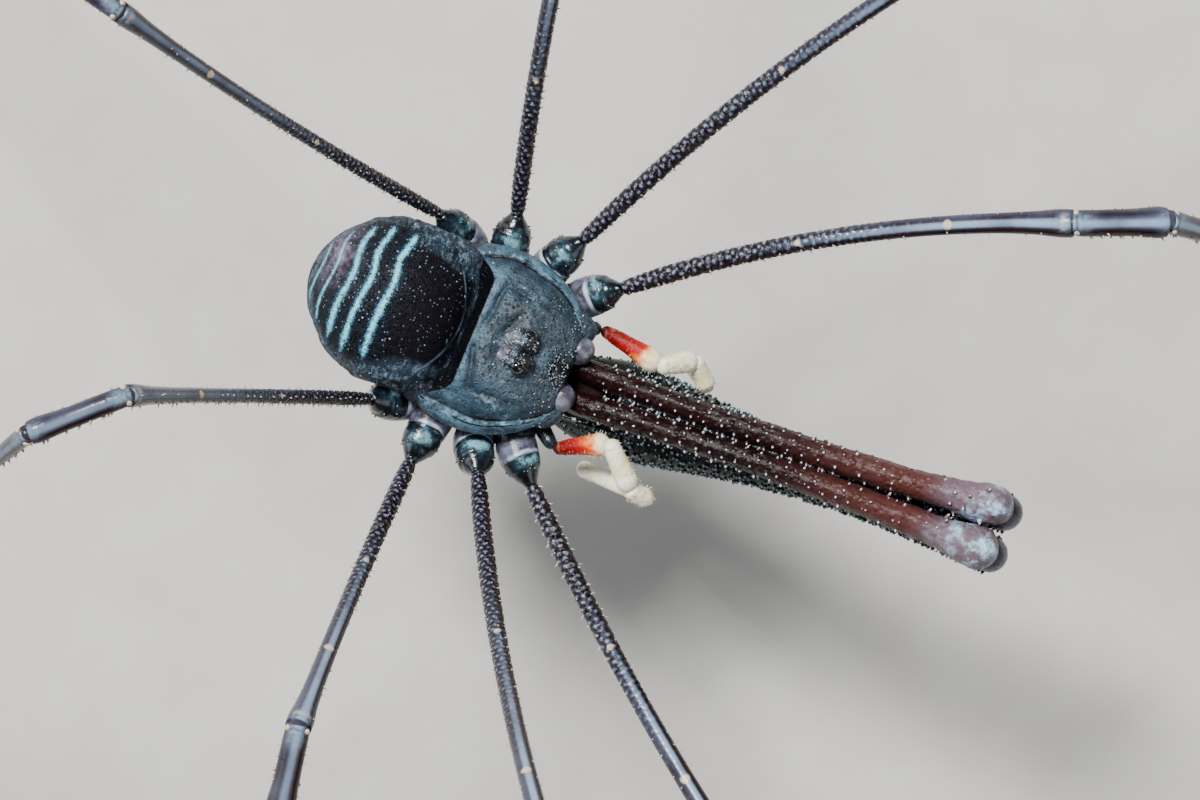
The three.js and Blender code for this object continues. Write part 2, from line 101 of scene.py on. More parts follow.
# Eye mound and eyes, the spiny brow in front of them, whose bulge is at a place of its own, the
# grains on the carapace, the soft skin behind it, its round front corners, and the lobes and the lip
# that the jaws hang from. A width or height given as a pair is the least and the most of it.
MOUND = {"x": 1.0, "y": 0.16, "z": 0.66, "size": (0.38, 0.25, 0.42), "count": 26, "width": (0.018, 0.034)}
EYE = {"x": 1.11, "y": 0.33, "z": 0.9, "radius": 0.155, "lid": 0.016, "way": (0.12, 0.95, 0.32)}
BROW = {"x": (1.7, 2.06), "y": 0.42, "count": 60, "width": (0.02, 0.036), "height": (0.06, 0.12),
        "bulge": (1.6, 0.04)}
GRAINS = {"x": (0.1, 2.06), "y": 1.3, "count": 260, "width": (0.008, 0.017), "tall": 1.5}
PLEURA = {"place": (-0.62, 1.32, -0.1), "size": (0.6, 0.38, 0.42)}
SHOULDER = {"place": (1.82, 0.86, -0.12), "size": (0.5, 0.41, 0.32)}
LOBE = {"x": 2.14, "y": 0.51, "z": -0.06, "size": (0.3, 0.3, 0.36)}
LIP = {"place": (2.5, -0.12, -0.85), "size": (0.8, 0.62, 0.36)}

# Jaws: a rising base to the knee, and a hand that folds back below it and ends in two fingers.
# The denticles of the base stand in rings at the given turns from its top, in degrees.
JAW = {
    "root": (2.55, -0.13, -0.38),
    "inside": 0.5,
    "compass": 2.5,
    "climb": 15,
    "length": 8.85,
    "away": (0.34, 0.17, 0.45),
    "past_knee": 0.22,
    "radius": [[0, 0.22], [0.08, 0.25], [0.3, 0.25], [0.6, 0.27], [0.85, 0.31], [0.93, 0.41], [1, 0.4]],
    "tall": 1.15,
}
DENTICLES = {"from": 0.95, "every": 0.31, "turns": (-118, -72, -30, 8, 44, 78, 120), "width": (0.03, 0.046)}
HAND = {
    "ahead": 0.15,
    "below": 0.5,
    "past_knee": 0.3,
    "fall": 30,
    "length": 8.8,
    "away": (0.44, 0.2, 0.18, 0.52),
    "radius": [[0, 0.38], [0.1, 0.37], [0.22, 0.33], [0.45, 0.3], [0.66, 0.35], [0.82, 0.42],
               [0.93, 0.47], [1, 0.44]],
    "tall": 1.1,
}
TUBERCLES = {"rows": 74, "round": 19, "width": (0.024, 0.044), "tall": 1.9}
FINGER = {
    "fixed": 1.25,
    "moving": 1.95,
    "radius": [[0, 0.33], [0.4, 0.25], [0.8, 0.13], [1, 0.05]],
    "away": (0.16, 0.24, 0.22, 0.06),
    "sunk": 0.35,
    "knobs": 150,
    "knob_width": (0.018, 0.034),
    "teeth_from": 0.45,
    "teeth_every": 0.16,
    "tooth": (0.035, 0.05),
}

# Palps: the places of each one's joints from root to claw, the radii of its stretches, how far
# they bow up for their length, how far they reach into each other, where the joint's fold lies on
# each, and its hairs.
PALP_JOINTS = {
    "left": [(2.38, 1.1, -0.55), (3.76, 0.84, -0.15), (4.36, 1.22, -0.6), (4.8, 0.86, -1),
             (4.15, 1.3, -1.85)],
    "right": [(2.4, -1.5, -0.5), (3.42, -1, 0), (4.14, -1.69, -0.35), (4.56, -1.7, -0.7), (3, -1.6, -1.5)],
}
PALP_COXA = {"inner": (1.6, 0.85, -0.75), "radius": [[0, 0.2], [0.8, 0.15], [1, 0.11]]}
PALP = {
    "femur": [[0, 0.1], [0.15, 0.145], [0.5, 0.19], [0.8, 0.24], [1, 0.245]],
    "patella": [[0, 0.2], [0.25, 0.195], [0.7, 0.235], [1, 0.27]],
    "tibia": [[0, 0.24], [0.3, 0.195], [0.65, 0.205], [0.9, 0.23], [1, 0.19]],
    "tarsus": [[0, 0.19], [0.3, 0.16], [0.7, 0.16], [0.92, 0.17], [1, 0.14]],
}
PALP_BOW = 0.07
PALP_OVERLAP = 0.1
PALP_JOINT = 0.19
HAIRS = {"count": 90, "width": 0.006, "length": 0.07}

# Legs, from the first pair to the fourth: the lengths of their stretches, how stout they are and
# how strong the painted highlight on top is. Then the radii of the stretches, before they are made
# stouter.
TROCHANTER_LENGTH = 0.85
Size = namedtuple("Size", "femur patella tibia metatarsus tarsus stout sheen")
SIZES = [
    Size(9.6, 1.9, 8.6, 9.5, 12, stout=1.12, sheen=1),
    Size(14, 2.1, 13, 12, 16, stout=1.1, sheen=0.85),
    Size(8.8, 1.8, 7.8, 9.5, 11, stout=1.04, sheen=0.75),
    Size(11, 2, 10, 12, 14, stout=0.87, sheen=0.45),
]
LEG = {
    "trochanter": [[0, 0.37], [0.08, 0.395], [0.3, 0.395], [0.5, 0.365], [0.64, 0.31], [0.78, 0.225],
                   [0.9, 0.155], [1, 0.13]],
    "femur": [[0, 0.13], [0.03, 0.15], [0.1, 0.165], [0.5, 0.165], [0.8, 0.18], [0.91, 0.21], [0.97, 0.255],
              [1, 0.25]],
    "patella": [[0, 0.215], [0.1, 0.235], [0.6, 0.245], [0.88, 0.285], [1, 0.25]],
    "tibia": [[0, 0.205], [0.04, 0.215], [0.3, 0.17], [0.9, 0.17], [1, 0.15]],
    "metatarsus": [[0, 0.14], [0.04, 0.15], [0.3, 0.125], [1, 0.1]],
    "tarsus": [[0, 0.1], [0.2, 0.09], [1, 0.06]],
}
OVERLAP = 0.12

# Along a leg: the length of a ring of tubercles, how far the pale top, partly painted light, leans
# towards the lit side, the femur's two pale spots (share of its length, size) and its spines, those of
# the trochanter, and those further out.
# Then the condyles at each joint, its hinge ball as a share of the stretch's radius, the heights of
# the tarsus where it lands and at its tip, the length of its joints, and the claw.
BEAD = 0.14
LIT_SIDE_LEAN = 0.6
SPOTS_ON_FEMUR = [(0.4, 0.075), (0.73, 0.105)]
FEMUR_SPINES = {"every": 0.28, "turns": (-130, -92, -58, 8, 60, 94, 132), "width": 0.016,
                "height": (0.035, 0.07)}
TROCHANTER_SPINES = {"count": 14, "width": 0.018, "height": 0.06}
OUTER_SPINES = {"every": 0.13, "side": 1.75, "width": 0.026, "height": (0.05, 0.09)}
CONDYLE = 0.06
HINGE = 0.97
TARSUS_REST = (0.1, 0.066)
TARSUS_SEGMENT = 0.42
CLAW = {"length": 0.28, "rise": 0.08, "tip": 0.014, "radius": [[0, 0.035], [1, 0.01]]}
COXA = {
    "height": -0.65,
    "inner_drop": 0.3,
    "radius": [[0, 0.34], [0.6, 0.42], [0.85, 0.42], [1, 0.4]],
    "inner": [(1.3, 0.5), (0.8, 0.45), (0.3, 0.45), (0.1, 0.7)],
    "past_root": (0.3, 0.14, 0.14, 0.1),
    "membrane": 0.42,
    "edge": 0.07,
}

# The stance. A root is where the coxa ends, and each stretch has its compass angle and its climb.
# Bend turns the femur sideways on its way to the knee, and turn swings the tarsus on the floor.
# All of these angles are in degrees.
Pose = namedtuple("Pose", "root trochanter femur bend patella tibia metatarsus turn")
STANCE = {
    "left": [
        Pose((1.85, 1.6), (33, 30), (29.5, 19.5), -21, (24, -6), (14, -52), (10, -24), 8),
        Pose((0.98, 1.95), (60, 27), (56, 23), -20, (48, -6), (52, -42), (56, -20), 14),
        Pose((0.03, 1.88), (99, 31), (102, 43), -8, (100, -10), (105, -58), (108, -45), 12),
        Pose((-0.93, 1.75), (160, 43), (174.5, 51), -8, (168, 0), (162, -60), (158, -39.5), -14),
    ],
    "right": [
        Pose((1.7, -1.78), (-45, 8), (-39, 18), 10, (-34, -6), (-32, -50), (-30, -21), 10),
        Pose((0.9, -2.08), (-59, 45), (-57, 53), 14, (-50, -4), (-54, -62), (-58, -37.5), -14),
        Pose((-0.1, -2.08), (-94, 20), (-89, 49), 4, (-80, -8), (-78, -60), (-82, -48), -12),
        Pose((-0.9, -1.82), (-158, 52), (-152, 66), 3, (-136, 3), (-126, -63), (-122, -49.5), -10),
    ],
}

# The view, turned on the page and a little off straight down, in degrees. Each light has a place
# right, up and back from the view's middle, a size, a power and a colour. Then the even light of
# the sky, and half the width of the floor in metres.
VIEW = {"middle": (2.89, -0.28, 0.3), "distance": 155, "tilt": 3, "turn": 22.5, "lens": 232.5}
LIGHTS = {
    "key": ((-75, 110, 230), 70, 1.6, (1.0, 0.995, 0.98)),
    "fill": ((190, -120, 180), 200, 0.25, (0.92, 0.97, 1.0)),
    "rear": ((-220, 60, 90), 160, 0.3, (0.88, 0.95, 1.0)),
}
SKY = {"Color": (0.86, 0.88, 0.9, 1), "Strength": 0.08}
BOARD = 1.5


# Sums on arrays.


def unit(ways):
    """Each direction divided by its own length."""
    return ways / np.linalg.norm(ways, axis=-1, keepdims=True)


def heading(compass, climb):
    """The direction with a compass angle and a climb in degrees."""
    compass, climb = np.radians(compass), np.radians(climb)
    return np.array([np.cos(compass) * np.cos(climb), np.sin(compass) * np.cos(climb), np.sin(climb)])


def ease(low, high, values):
    """Rises smoothly from 0 to 1 between low and high, as three squares less two cubes."""
    share = np.clip((values - low) / (high - low), 0, 1)
    return share * share * (3 - 2 * share)


def bump_at(values, middle, half_width):
    """A bell: 1 at the middle, falling off as the exponential of minus the square."""
    return np.exp(-(((values - middle) / half_width) ** 2))


def profile(points, places):
    """A smooth line through (place, value) points: cubics that share their slopes, flat beyond."""
    xs, ys = np.array(points, float).T
    index = np.arange(len(xs))
    before, after = np.maximum(index - 1, 0), np.minimum(index + 1, len(xs) - 1)
    slopes = (ys[after] - ys[before]) / (xs[after] - xs[before])
    places = np.clip(places, xs[0], xs[-1])
    i = np.clip(np.searchsorted(xs, places, side="right") - 1, 0, len(xs) - 2)
    step = xs[i + 1] - xs[i]
    s = (places - xs[i]) / step
    straight = (1 - s) ** 2 * (1 + 2 * s) * ys[i] + s**2 * (3 - 2 * s) * ys[i + 1]
    return straight + s * (1 - s) * step * ((1 - s) * slopes[i] - s * slopes[i + 1])


def bezier(stops, count=240):
    """A Bezier curve: its stops are mixed pairwise by the share t until one point is left."""
    t = np.linspace(0, 1, count)[None, :, None]
    level = np.array(stops, float)[:, None, :] * np.ones_like(t)
    while len(level) > 1:
        level = level[:-1] * (1 - t) + level[1:] * t
    return level[0]


def flat(x, y):
    """Points at no height over a plan, which may be given as a row and a column."""
    return np.stack(np.broadcast_arrays(x, y, 0 * x), axis=-1)


def pairings(*lists):
    """Each member of every list with each member of the others, as flat arrays."""
    return [grid.ravel() for grid in np.meshgrid(*lists, indexing="ij")]


def ripple(points, per_mm, seed, waves=14):
    """Smooth uneven waves of about unit height: a sum of sines that run in random directions."""
    source = np.random.default_rng(seed)
    ways = unit(source.normal(size=(waves, 3))) * source.uniform(0.6, 1.4, (waves, 1)) * per_mm * 2 * np.pi
    shifts = source.uniform(0, 2 * np.pi, waves)
    return np.sin(points @ ways.T + shifts).sum(axis=-1) * np.sqrt(2 / waves)


class Line:
    """A limb's middle line, which knows its length and its place and frame at any distance."""

    def __init__(self, points):
        steps = np.linalg.norm(np.diff(points, axis=0), axis=1)
        kept = np.concatenate([[True], steps > 1e-6])
        self.points = points[kept]
        self.run = np.concatenate([[0], np.cumsum(steps[steps > 1e-6])])
        self.length = self.run[-1]
        self.ways = unit(np.gradient(self.points, self.run, axis=0))

    def at(self, marks):
        """Places at these distances, with the directions along, to the left and to the top."""
        marks = np.asarray(marks, float)
        along = np.stack([np.interp(marks, self.run, self.ways[:, axis]) for axis in range(3)], axis=-1)
        place = np.stack([np.interp(marks, self.run, self.points[:, axis]) for axis in range(3)], axis=-1)
        along = unit(along)
        side = unit(np.cross(UP, along))
        return place, along, side, np.cross(along, side)


# Shapes: points, four-sided and three-sided faces, and marks, the numbers that materials read.

Shape = namedtuple("Shape", "points quads tris marks")


def ring_faces(rows, columns):
    """Faces of a grid that closes round its columns, with a fan to a pole at each end."""
    i, j = pairings(np.arange(rows - 1), np.arange(columns))
    k = (j + 1) % columns
    quads = np.stack([i * columns + j, (i + 1) * columns + j, (i + 1) * columns + k, i * columns + k], axis=1)
    j = np.arange(columns)
    k = (j + 1) % columns
    start, end, last = rows * columns, rows * columns + 1, (rows - 1) * columns
    first_fan = np.stack([np.full(columns, start), j, k], axis=1)
    last_fan = np.stack([np.full(columns, end), last + k, last + j], axis=1)
    return quads, np.concatenate([first_fan, last_fan])


def closed(rings, start, end, **marks):
    """A closed skin over rings of points, with a pole at the start and one at the end."""
    rows, columns = rings.shape[:2]
    quads, tris = ring_faces(rows, columns)
    points = np.concatenate([rings.reshape(-1, 3), [start, end]])
    spread = {}
    for name, values in marks.items():
        grid = np.broadcast_to(values, (rows, columns))
        spread[name] = np.concatenate([grid.ravel(), [grid[0].mean(), grid[-1].mean()]])
    return Shape(points, quads, tris, spread)


def marked(shape, **marks):
    """The shape with more marks, each with one value for all its points or one for each."""
    spread = {name: np.broadcast_to(value, len(shape.points)) for name, value in marks.items()}
    return shape._replace(marks={**shape.marks, **spread})


def merge(shapes):
    """Several shapes as one. A mark that a shape lacks is nought on it."""
    names = sorted({name for shape in shapes for name in shape.marks})
    starts = np.cumsum([0] + [len(shape.points) for shape in shapes])
    nought = [np.zeros(len(shape.points)) for shape in shapes]
    return Shape(
        np.concatenate([shape.points for shape in shapes]),
        np.concatenate([shape.quads + start for shape, start in zip(shapes, starts)]),
        np.concatenate([shape.tris + start for shape, start in zip(shapes, starts)]),
        {name: np.concatenate([shape.marks.get(name, none) for shape, none in zip(shapes, nought)])
         for name in names},
    )


def limb(line, radii, spacing, sides, tall=1.0, caps=6, blunt=None, swell=None, marks=None):
    """A round limb: circles across the line with a profile's radius, rounded off at both ends.

    Each point is the line's place plus the radius times the sine of its angle sideways and the
    cosine of it upwards. The angle starts at the top. Swell(along, angle) widens the radius, and
    blunt gives how deep the rounding at each end is, where it isn't a half ball.
    """
    first, last = blunt or (radii[0][1], radii[-1][1])
    cap = np.linspace(0, np.pi / 2, caps + 1)[1:-1]
    count = max(2, round((line.length - first - last) / spacing) + 1)
    middle = np.linspace(first, line.length - last, count)
    along = np.concatenate([first * (1 - np.cos(cap)), middle, line.length - last * (1 - np.cos(cap[::-1]))])
    round_off = np.concatenate([np.sin(cap), np.ones(count), np.sin(cap[::-1])])
    angle = np.linspace(0, 2 * np.pi, sides, endpoint=False)[None, :]
    share = along / line.length
    radius = (profile(radii, share) * round_off)[:, None] * np.ones_like(angle)
    if swell:
        radius = radius * (1 + swell(along[:, None], angle) * round_off[:, None])
    place, _, side, top = line.at(along)
    across = np.sin(angle)[..., None] * side[:, None] + tall * np.cos(angle)[..., None] * top[:, None]
    rings = place[:, None] + radius[..., None] * across
    given = {name: value(along[:, None], angle) for name, value in (marks or {}).items()}
    return closed(rings, line.points[0], line.points[-1], **given)


def uneven(along, angle, per_mm, seed, around=0.3):
    """Ripples on a limb's skin, worked out on a plain tube with the given radius."""
    tube = np.broadcast_arrays(along, around * np.sin(angle), around * np.cos(angle))
    return ripple(np.stack(tube, axis=-1), per_mm, seed)


def ball(centre, size, rings=24, sides=32, rough=0.0, grain=3.0, seed=1):
    """A stretched ball: sines and cosines of two angles, with the surface rippled a little."""
    slide = np.linspace(0, np.pi, rings + 2)[1:-1, None]
    turn = np.linspace(0, 2 * np.pi, sides, endpoint=False)[None, :]
    x = np.cos(np.pi - slide) * np.ones_like(turn)
    grid = np.stack([x, np.sin(slide) * np.sin(turn), np.sin(slide) * np.cos(turn)], axis=-1)
    way = grid * np.array(size)
    way = way * (1 + rough * ripple(way, grain, seed))[..., None]
    centre = np.array(centre, float)
    lengthwise = np.array([size[0], 0, 0])
    return closed(centre + way, centre - lengthwise, centre + lengthwise)


def knob(outline, sides):
    """A little turned form that stands on the floor plane: (radius, height) rings and a tip."""
    radius, height = np.array(outline, float).T
    radius, height = radius[:, None], height[:, None]
    angle = np.linspace(0, 2 * np.pi, sides, endpoint=False)
    rings = np.stack([radius * np.cos(angle), radius * np.sin(angle), height + 0 * angle], axis=-1)
    return closed(rings, (0, 0, height[0, 0]), (0, 0, 1), tip=np.clip(height, 0, 1))


SPINE = knob([(1, -0.35), (0.8, 0.25), (0.4, 0.7)], 4)
DENTICLE = knob([(1.25, -0.5), (1, 0), (0.62, 0.45), (0.35, 0.82)], 6)
GRAIN = knob([(1, -0.6), (1, 0.1), (0.72, 0.65)], 6)
HAIR = knob([(1, -0.1), (0.7, 0.5)], 3)


def stand(form, places, ways, width, height):
    """Copies of a little form, each stood on its place along its way, of its own width and height."""
    ways = unit(ways)
    helper = np.where(np.abs(ways[:, 2:]) > 0.9, [[1.0, 0, 0]], [[0, 0, 1.0]])
    one = unit(np.cross(helper, ways))
    two = np.cross(ways, one)
    count, size = len(places), len(form.points)
    width = np.broadcast_to(width, count)[:, None, None]
    height = np.broadcast_to(height, count)[:, None, None]
    x, y, z = (form.points[None, :, axis, None] for axis in range(3))
    points = places[:, None] + width * (x * one[:, None] + y * two[:, None]) + height * z * ways[:, None]
    shift = (np.arange(count) * size)[:, None, None]
    quads, tris = (form.quads + shift).reshape(-1, 4), (form.tris + shift).reshape(-1, 3)
    return Shape(points.reshape(-1, 3), quads, tris, {"tip": np.tile(form.marks["tip"], count)})


def stand_on_limb(form, line, radii, along, angle, width, height, lean, tall=1.0):
    """Copies of a form on a limb's skin at distances and angles, leaning towards its far end."""
    place, forward, side, top = line.at(along)
    radius = profile(radii, along / line.length)[:, None]
    sine, cosine = np.sin(angle)[:, None], np.cos(angle)[:, None]
    foot = place + radius * (sine * side + tall * cosine * top)
    way = unit(sine * side + cosine * top / tall)
    return stand(form, foot, way + lean * forward, width, height)


def piece(name, shapes, material, slot, *nodes):
    """One finished object, set in place in metres. It rides on the body and stands for its nodes."""
    shape = merge(shapes)
    mesh = bpy.data.meshes.new(name)
    mesh.vertices.add(len(shape.points))
    mesh.vertices.foreach_set("co", ((shape.points + BODY) * MM).ravel())
    corners = np.concatenate([shape.quads.ravel(), shape.tris.ravel()])
    sizes = np.concatenate([np.full(len(shape.quads), 4), np.full(len(shape.tris), 3)])
    mesh.loops.add(len(corners))
    mesh.loops.foreach_set("vertex_index", corners)
    mesh.polygons.add(len(sizes))
    mesh.polygons.foreach_set("loop_start", np.concatenate([[0], np.cumsum(sizes)[:-1]]))
    mesh.polygons.foreach_set("use_smooth", np.ones(len(sizes), bool))
    mesh.update(calc_edges=True)
    for mark, values in shape.marks.items():
        mesh.attributes.new(mark, "FLOAT", "POINT").data.foreach_set("value", values.astype(np.float32))
    mesh.materials.append(material)
    made = bpy.data.objects.new(name, mesh)
    bpy.context.collection.objects.link(made)
    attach(made, "root")
    if nodes:
        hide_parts(*nodes)
    return made


# Materials. Colours are given as they look on a screen: red, green and blue, from 0 to 255.


def shade(colour):
    """A screen colour as the linear colour that a shader takes."""
    value = np.array(colour) / 255
    linear = np.where(value <= 0.04045, value / 12.92, ((value + 0.055) / 1.055) ** 2.4)
    return (*linear.tolist(), 1.0)


class Finish:
    """A material under construction, whose colour is painted over layer by layer.

    Places are in millimetres in the body's frame. Most methods add a node and return its output.
    """

    def __init__(self, name, **settings):
        self.material = bpy.data.materials.new(name)
        self.material.use_nodes = True
        self.tree = self.material.node_tree
        self.shader = self.tree.nodes["Principled BSDF"]
        for socket, value in settings.items():
            self.shader.inputs[socket.replace("_", " ")].default_value = value
        coordinates = self.node("ShaderNodeTexCoord").outputs["Object"]
        to_body = {"Location": tuple(-BODY), "Scale": (1 / MM, 1 / MM, 1 / MM), "Vector": coordinates}
        self.place = self.node("ShaderNodeMapping", to_body).outputs[0]
        self.colour = None

    def node(self, kind, inputs=None, **settings):
        """A node of a kind, whose inputs are values or the outputs of other nodes."""
        made = self.tree.nodes.new(kind)
        for key, value in settings.items():
            setattr(made, key, value)
        for key, value in (inputs or {}).items():
            if isinstance(value, bpy.types.NodeSocket):
                self.tree.links.new(value, made.inputs[key])
            else:
                made.inputs[key].default_value = value
        return made

    def mark(self, name):
        return self.node("ShaderNodeAttribute", attribute_name=name).outputs["Fac"]

    def stretched(self, x, y, z):
        return self.node("ShaderNodeMapping", {"Vector": self.place, "Scale": (x, y, z)}).outputs[0]

    def noise(self, per_mm, detail, roughness, place=None):
        inputs = {"Vector": place or self.place, "Scale": per_mm, "Detail": detail, "Roughness": roughness}
        return self.node("ShaderNodeTexNoise", inputs).outputs[0]

    def cells(self, per_mm):
        """Cells round scattered points: how far off the nearest one is, and the cell's own colour."""
        return self.node("ShaderNodeTexVoronoi", {"Vector": self.place, "Scale": per_mm}).outputs

    def sum(self, kind, a, b):
        return self.node("ShaderNodeMath", {0: a, 1: b}, operation=kind).outputs[0]

    def times(self, a, b):
        return self.sum("MULTIPLY", a, b)

    def plus(self, a, b):
        return self.sum("ADD", a, b)

    def step(self, value, low, high, start=0.0, end=1.0):
        """From start to end as the value goes from low to high, smoothly, and held beyond."""
        inputs = {"Value": value, "From Min": low, "From Max": high, "To Min": start, "To Max": end}
        return self.node("ShaderNodeMapRange", inputs, interpolation_type="SMOOTHSTEP").outputs[0]

    def marked(self, name, low, high, end=1.0):
        """From nought to the end as the mark goes from low to high."""
        return self.step(self.mark(name), low, high, 0.0, end)

    def pebbles(self, per_mm):
        """Close round bumps, highest in the middle of each cell."""
        return self.step(self.cells(per_mm)["Distance"], 0.1, 0.55, 1.0, 0.0)

    def specks(self, per_mm, size, share):
        """Scattered dots: near the middle of a cell, in the given share of the cells."""
        cells = self.cells(per_mm)
        near = self.step(cells["Distance"], size * 0.5, size, 1.0, 0.0)
        picked = self.node("ShaderNodeSeparateColor", {0: cells["Color"]}).outputs[0]
        return self.times(near, self.sum("LESS_THAN", picked, share))

    def blend(self, share, under, over):
        """From one colour to another by the share. Each is a screen colour or a node's output."""
        pair = [one if isinstance(one, bpy.types.NodeSocket) else shade(one) for one in (under, over)]
        return self.node("ShaderNodeMix", {0: share, 6: pair[0], 7: pair[1]}, data_type="RGBA").outputs[2]

    def mottle(self, value, low, high, first, second):
        """The first colour where the value is low and the second where it is high."""
        return self.blend(self.step(value, low, high), first, second)

    def paint(self, over, *shares):
        """Lays a colour over the material's own, as strongly as its shares multiplied together."""
        share = shares[0]
        for other in shares[1:]:
            share = self.times(share, other)
        self.colour = self.blend(share, self.colour, over)

    def done(self, value, rough, height, depth):
        """Joins up the colour, the relief in millimetres, and the roughness, which follows the value."""
        relief = self.node("ShaderNodeBump", {"Height": height, "Distance": depth * MM, "Strength": 1.0})
        ready = {"Base Color": self.colour, "Roughness": self.step(value, 0.3, 0.7, *rough),
                 "Normal": relief.outputs[0]}
        for socket, output in ready.items():
            self.tree.links.new(output, self.shader.inputs[socket])
        return self.material


def carapace_finish():
    """Cloudy pored slate-blue leather, painted shade in its folds and brow, painted highlights on ridges."""
    f = Finish("slate leather", Specular_IOR_Level=0.28)
    cloud, fine, streak = f.noise(1.1, 3, 0.55), f.noise(15, 3, 0.6), f.noise(3.4, 5, 0.65)
    flecks, pits = f.step(f.noise(9, 4, 0.7), 0.45, 0.65), f.step(f.cells(11)["Distance"], 0.05, 0.4)
    f.colour = f.mottle(cloud, 0.36, 0.64, (18, 28, 36), (40, 60, 74))
    f.paint((66, 95, 113), f.step(streak, 0.48, 0.72, 0.0, 0.45))
    f.paint((11, 19, 27), f.step(streak, 0.52, 0.3, 0.0, 0.65))
    f.paint(f.mottle(fine, 0.35, 0.65, (34, 43, 51), (74, 88, 99)), f.mark("grey"), 0.8)
    f.paint((82, 119, 141), f.mark("band"), f.step(streak, 0.35, 0.62, 0.1, 0.8))
    # Painted highlights on the ridges: creases, raised folds, the rim's crest and the brow's bulge.
    f.paint((118, 158, 180), f.mark("ridge"), f.times(flecks, f.step(streak, 0.35, 0.6, 0.35, 1.0)))
    # Painted shade in the grooves and sunk folds, and along the hind edge.
    f.paint((3, 5, 10), f.marked("fold", 0.05, 0.9))
    # Painted shade in the hollow at the brow.
    f.paint((4, 6, 9), f.mark("brow"), f.step(fine, 0.3, 0.6, 0.75, 1.0))
    f.paint((10, 15, 21), f.step(pits, 0.0, 0.6, 0.45, 0.0))
    f.paint((184, 200, 214), f.specks(6.5, 0.15, 0.2), 0.7)
    height = f.plus(f.times(pits, 0.7), f.plus(f.times(fine, 0.6), f.times(streak, 1.2)))
    return f.done(streak, (0.5, 0.36), height, 0.026)


def abdomen_finish():
    """Velvet black with turquoise stripes, rosy patches, mottled flanks and fine white specks."""
    f = Finish("striped abdomen", Specular_IOR_Level=0.13)
    cloud, fine = f.noise(1.6, 4, 0.6), f.noise(11, 4, 0.65)
    spotty = f.noise(7, 5, 0.75, f.stretched(1.6, 0.6, 1))
    f.colour = f.mottle(fine, 0.35, 0.7, (3, 5, 10), (14, 22, 33))
    f.paint(f.mottle(fine, 0.4, 0.7, (7, 4, 10), (18, 12, 22)), f.mark("velvet"), 0.9)
    flank = f.mottle(cloud, 0.35, 0.65, (14, 20, 28), (40, 56, 70))
    flank = f.blend(f.step(spotty, 0.47, 0.66, 0.0, 0.85), flank, (108, 128, 146))
    soft = f.mottle(fine, 0.4, 0.65, (16, 12, 20), (56, 54, 70))
    f.paint(f.blend(f.times(f.mark("pleura"), 0.6), flank, soft), f.mark("flank"))
    rosy = f.mottle(fine, 0.35, 0.65, (96, 66, 84), (130, 132, 152))
    f.paint(rosy, f.mark("rosy"), f.step(cloud, 0.36, 0.6, 0.1, 0.95))
    core = f.blend(f.marked("stripe", 0.0, 0.9), (50, 108, 138), (138, 214, 230))
    core = f.blend(f.step(f.noise(8, 4, 0.7), 0.45, 0.7, 0.0, 0.6), core, (76, 140, 160))
    dots = f.times(f.step(f.cells(12)["Distance"], 0.15, 0.32, 0.9, 0.0), f.step(fine, 0.45, 0.58))
    core = f.blend(dots, core, (16, 42, 56))
    grit, waves = f.noise(30, 3, 0.8), f.noise(5, 3, 0.6)
    ragged = f.plus(f.step(grit, 0.35, 0.65, -0.5, 0.5), f.step(waves, 0.3, 0.7, -0.3, 0.3))
    f.paint(core, f.step(f.plus(f.mark("stripe"), ragged), -0.1, 0.7), f.mark("pale"))
    f.paint((120, 138, 160), f.mark("line"), f.step(cloud, 0.4, 0.6, 0.15, 0.75))
    # Painted shade at the front, where the abdomen runs in under the carapace.
    f.paint((5, 7, 13), f.marked("fold", 0.1, 0.9))
    f.paint((190, 208, 228), f.specks(7.5, 0.16, 0.3), 0.85)
    f.paint((122, 140, 166), f.specks(13, 0.28, 0.45), 0.6)
    pits = f.step(f.cells(20)["Distance"], 0.05, 0.5)
    height = f.plus(f.times(pits, 0.6), f.plus(fine, f.times(spotty, f.mark("flank"))))
    return f.done(fine, (0.36, 0.6), height, 0.03)


def coxa_finish():
    """Blue-black shell that gives way to a lilac membrane with a painted highlight band round it."""
    f = Finish("coxa and membrane", Specular_IOR_Level=0.55)
    fine = f.noise(7, 4, 0.6)
    f.colour = f.mottle(fine, 0.35, 0.7, (12, 17, 24), (36, 52, 64))
    f.paint(f.mottle(f.noise(4, 4, 0.6), 0.35, 0.68, (44, 42, 52), (102, 105, 124)), f.mark("membrane"))
    # A painted highlight band near the membrane's edge, brightest on one side.
    edge_highlight = f.times(f.mark("edge"), f.step(f.noise(2.2, 3, 0.6), 0.38, 0.6, 0.35, 1.0))
    f.paint((190, 208, 226), f.step(edge_highlight, 0.1, 1.0, 0.0, 0.85))
    return f.done(fine, (0.2, 0.36), fine, 0.02)


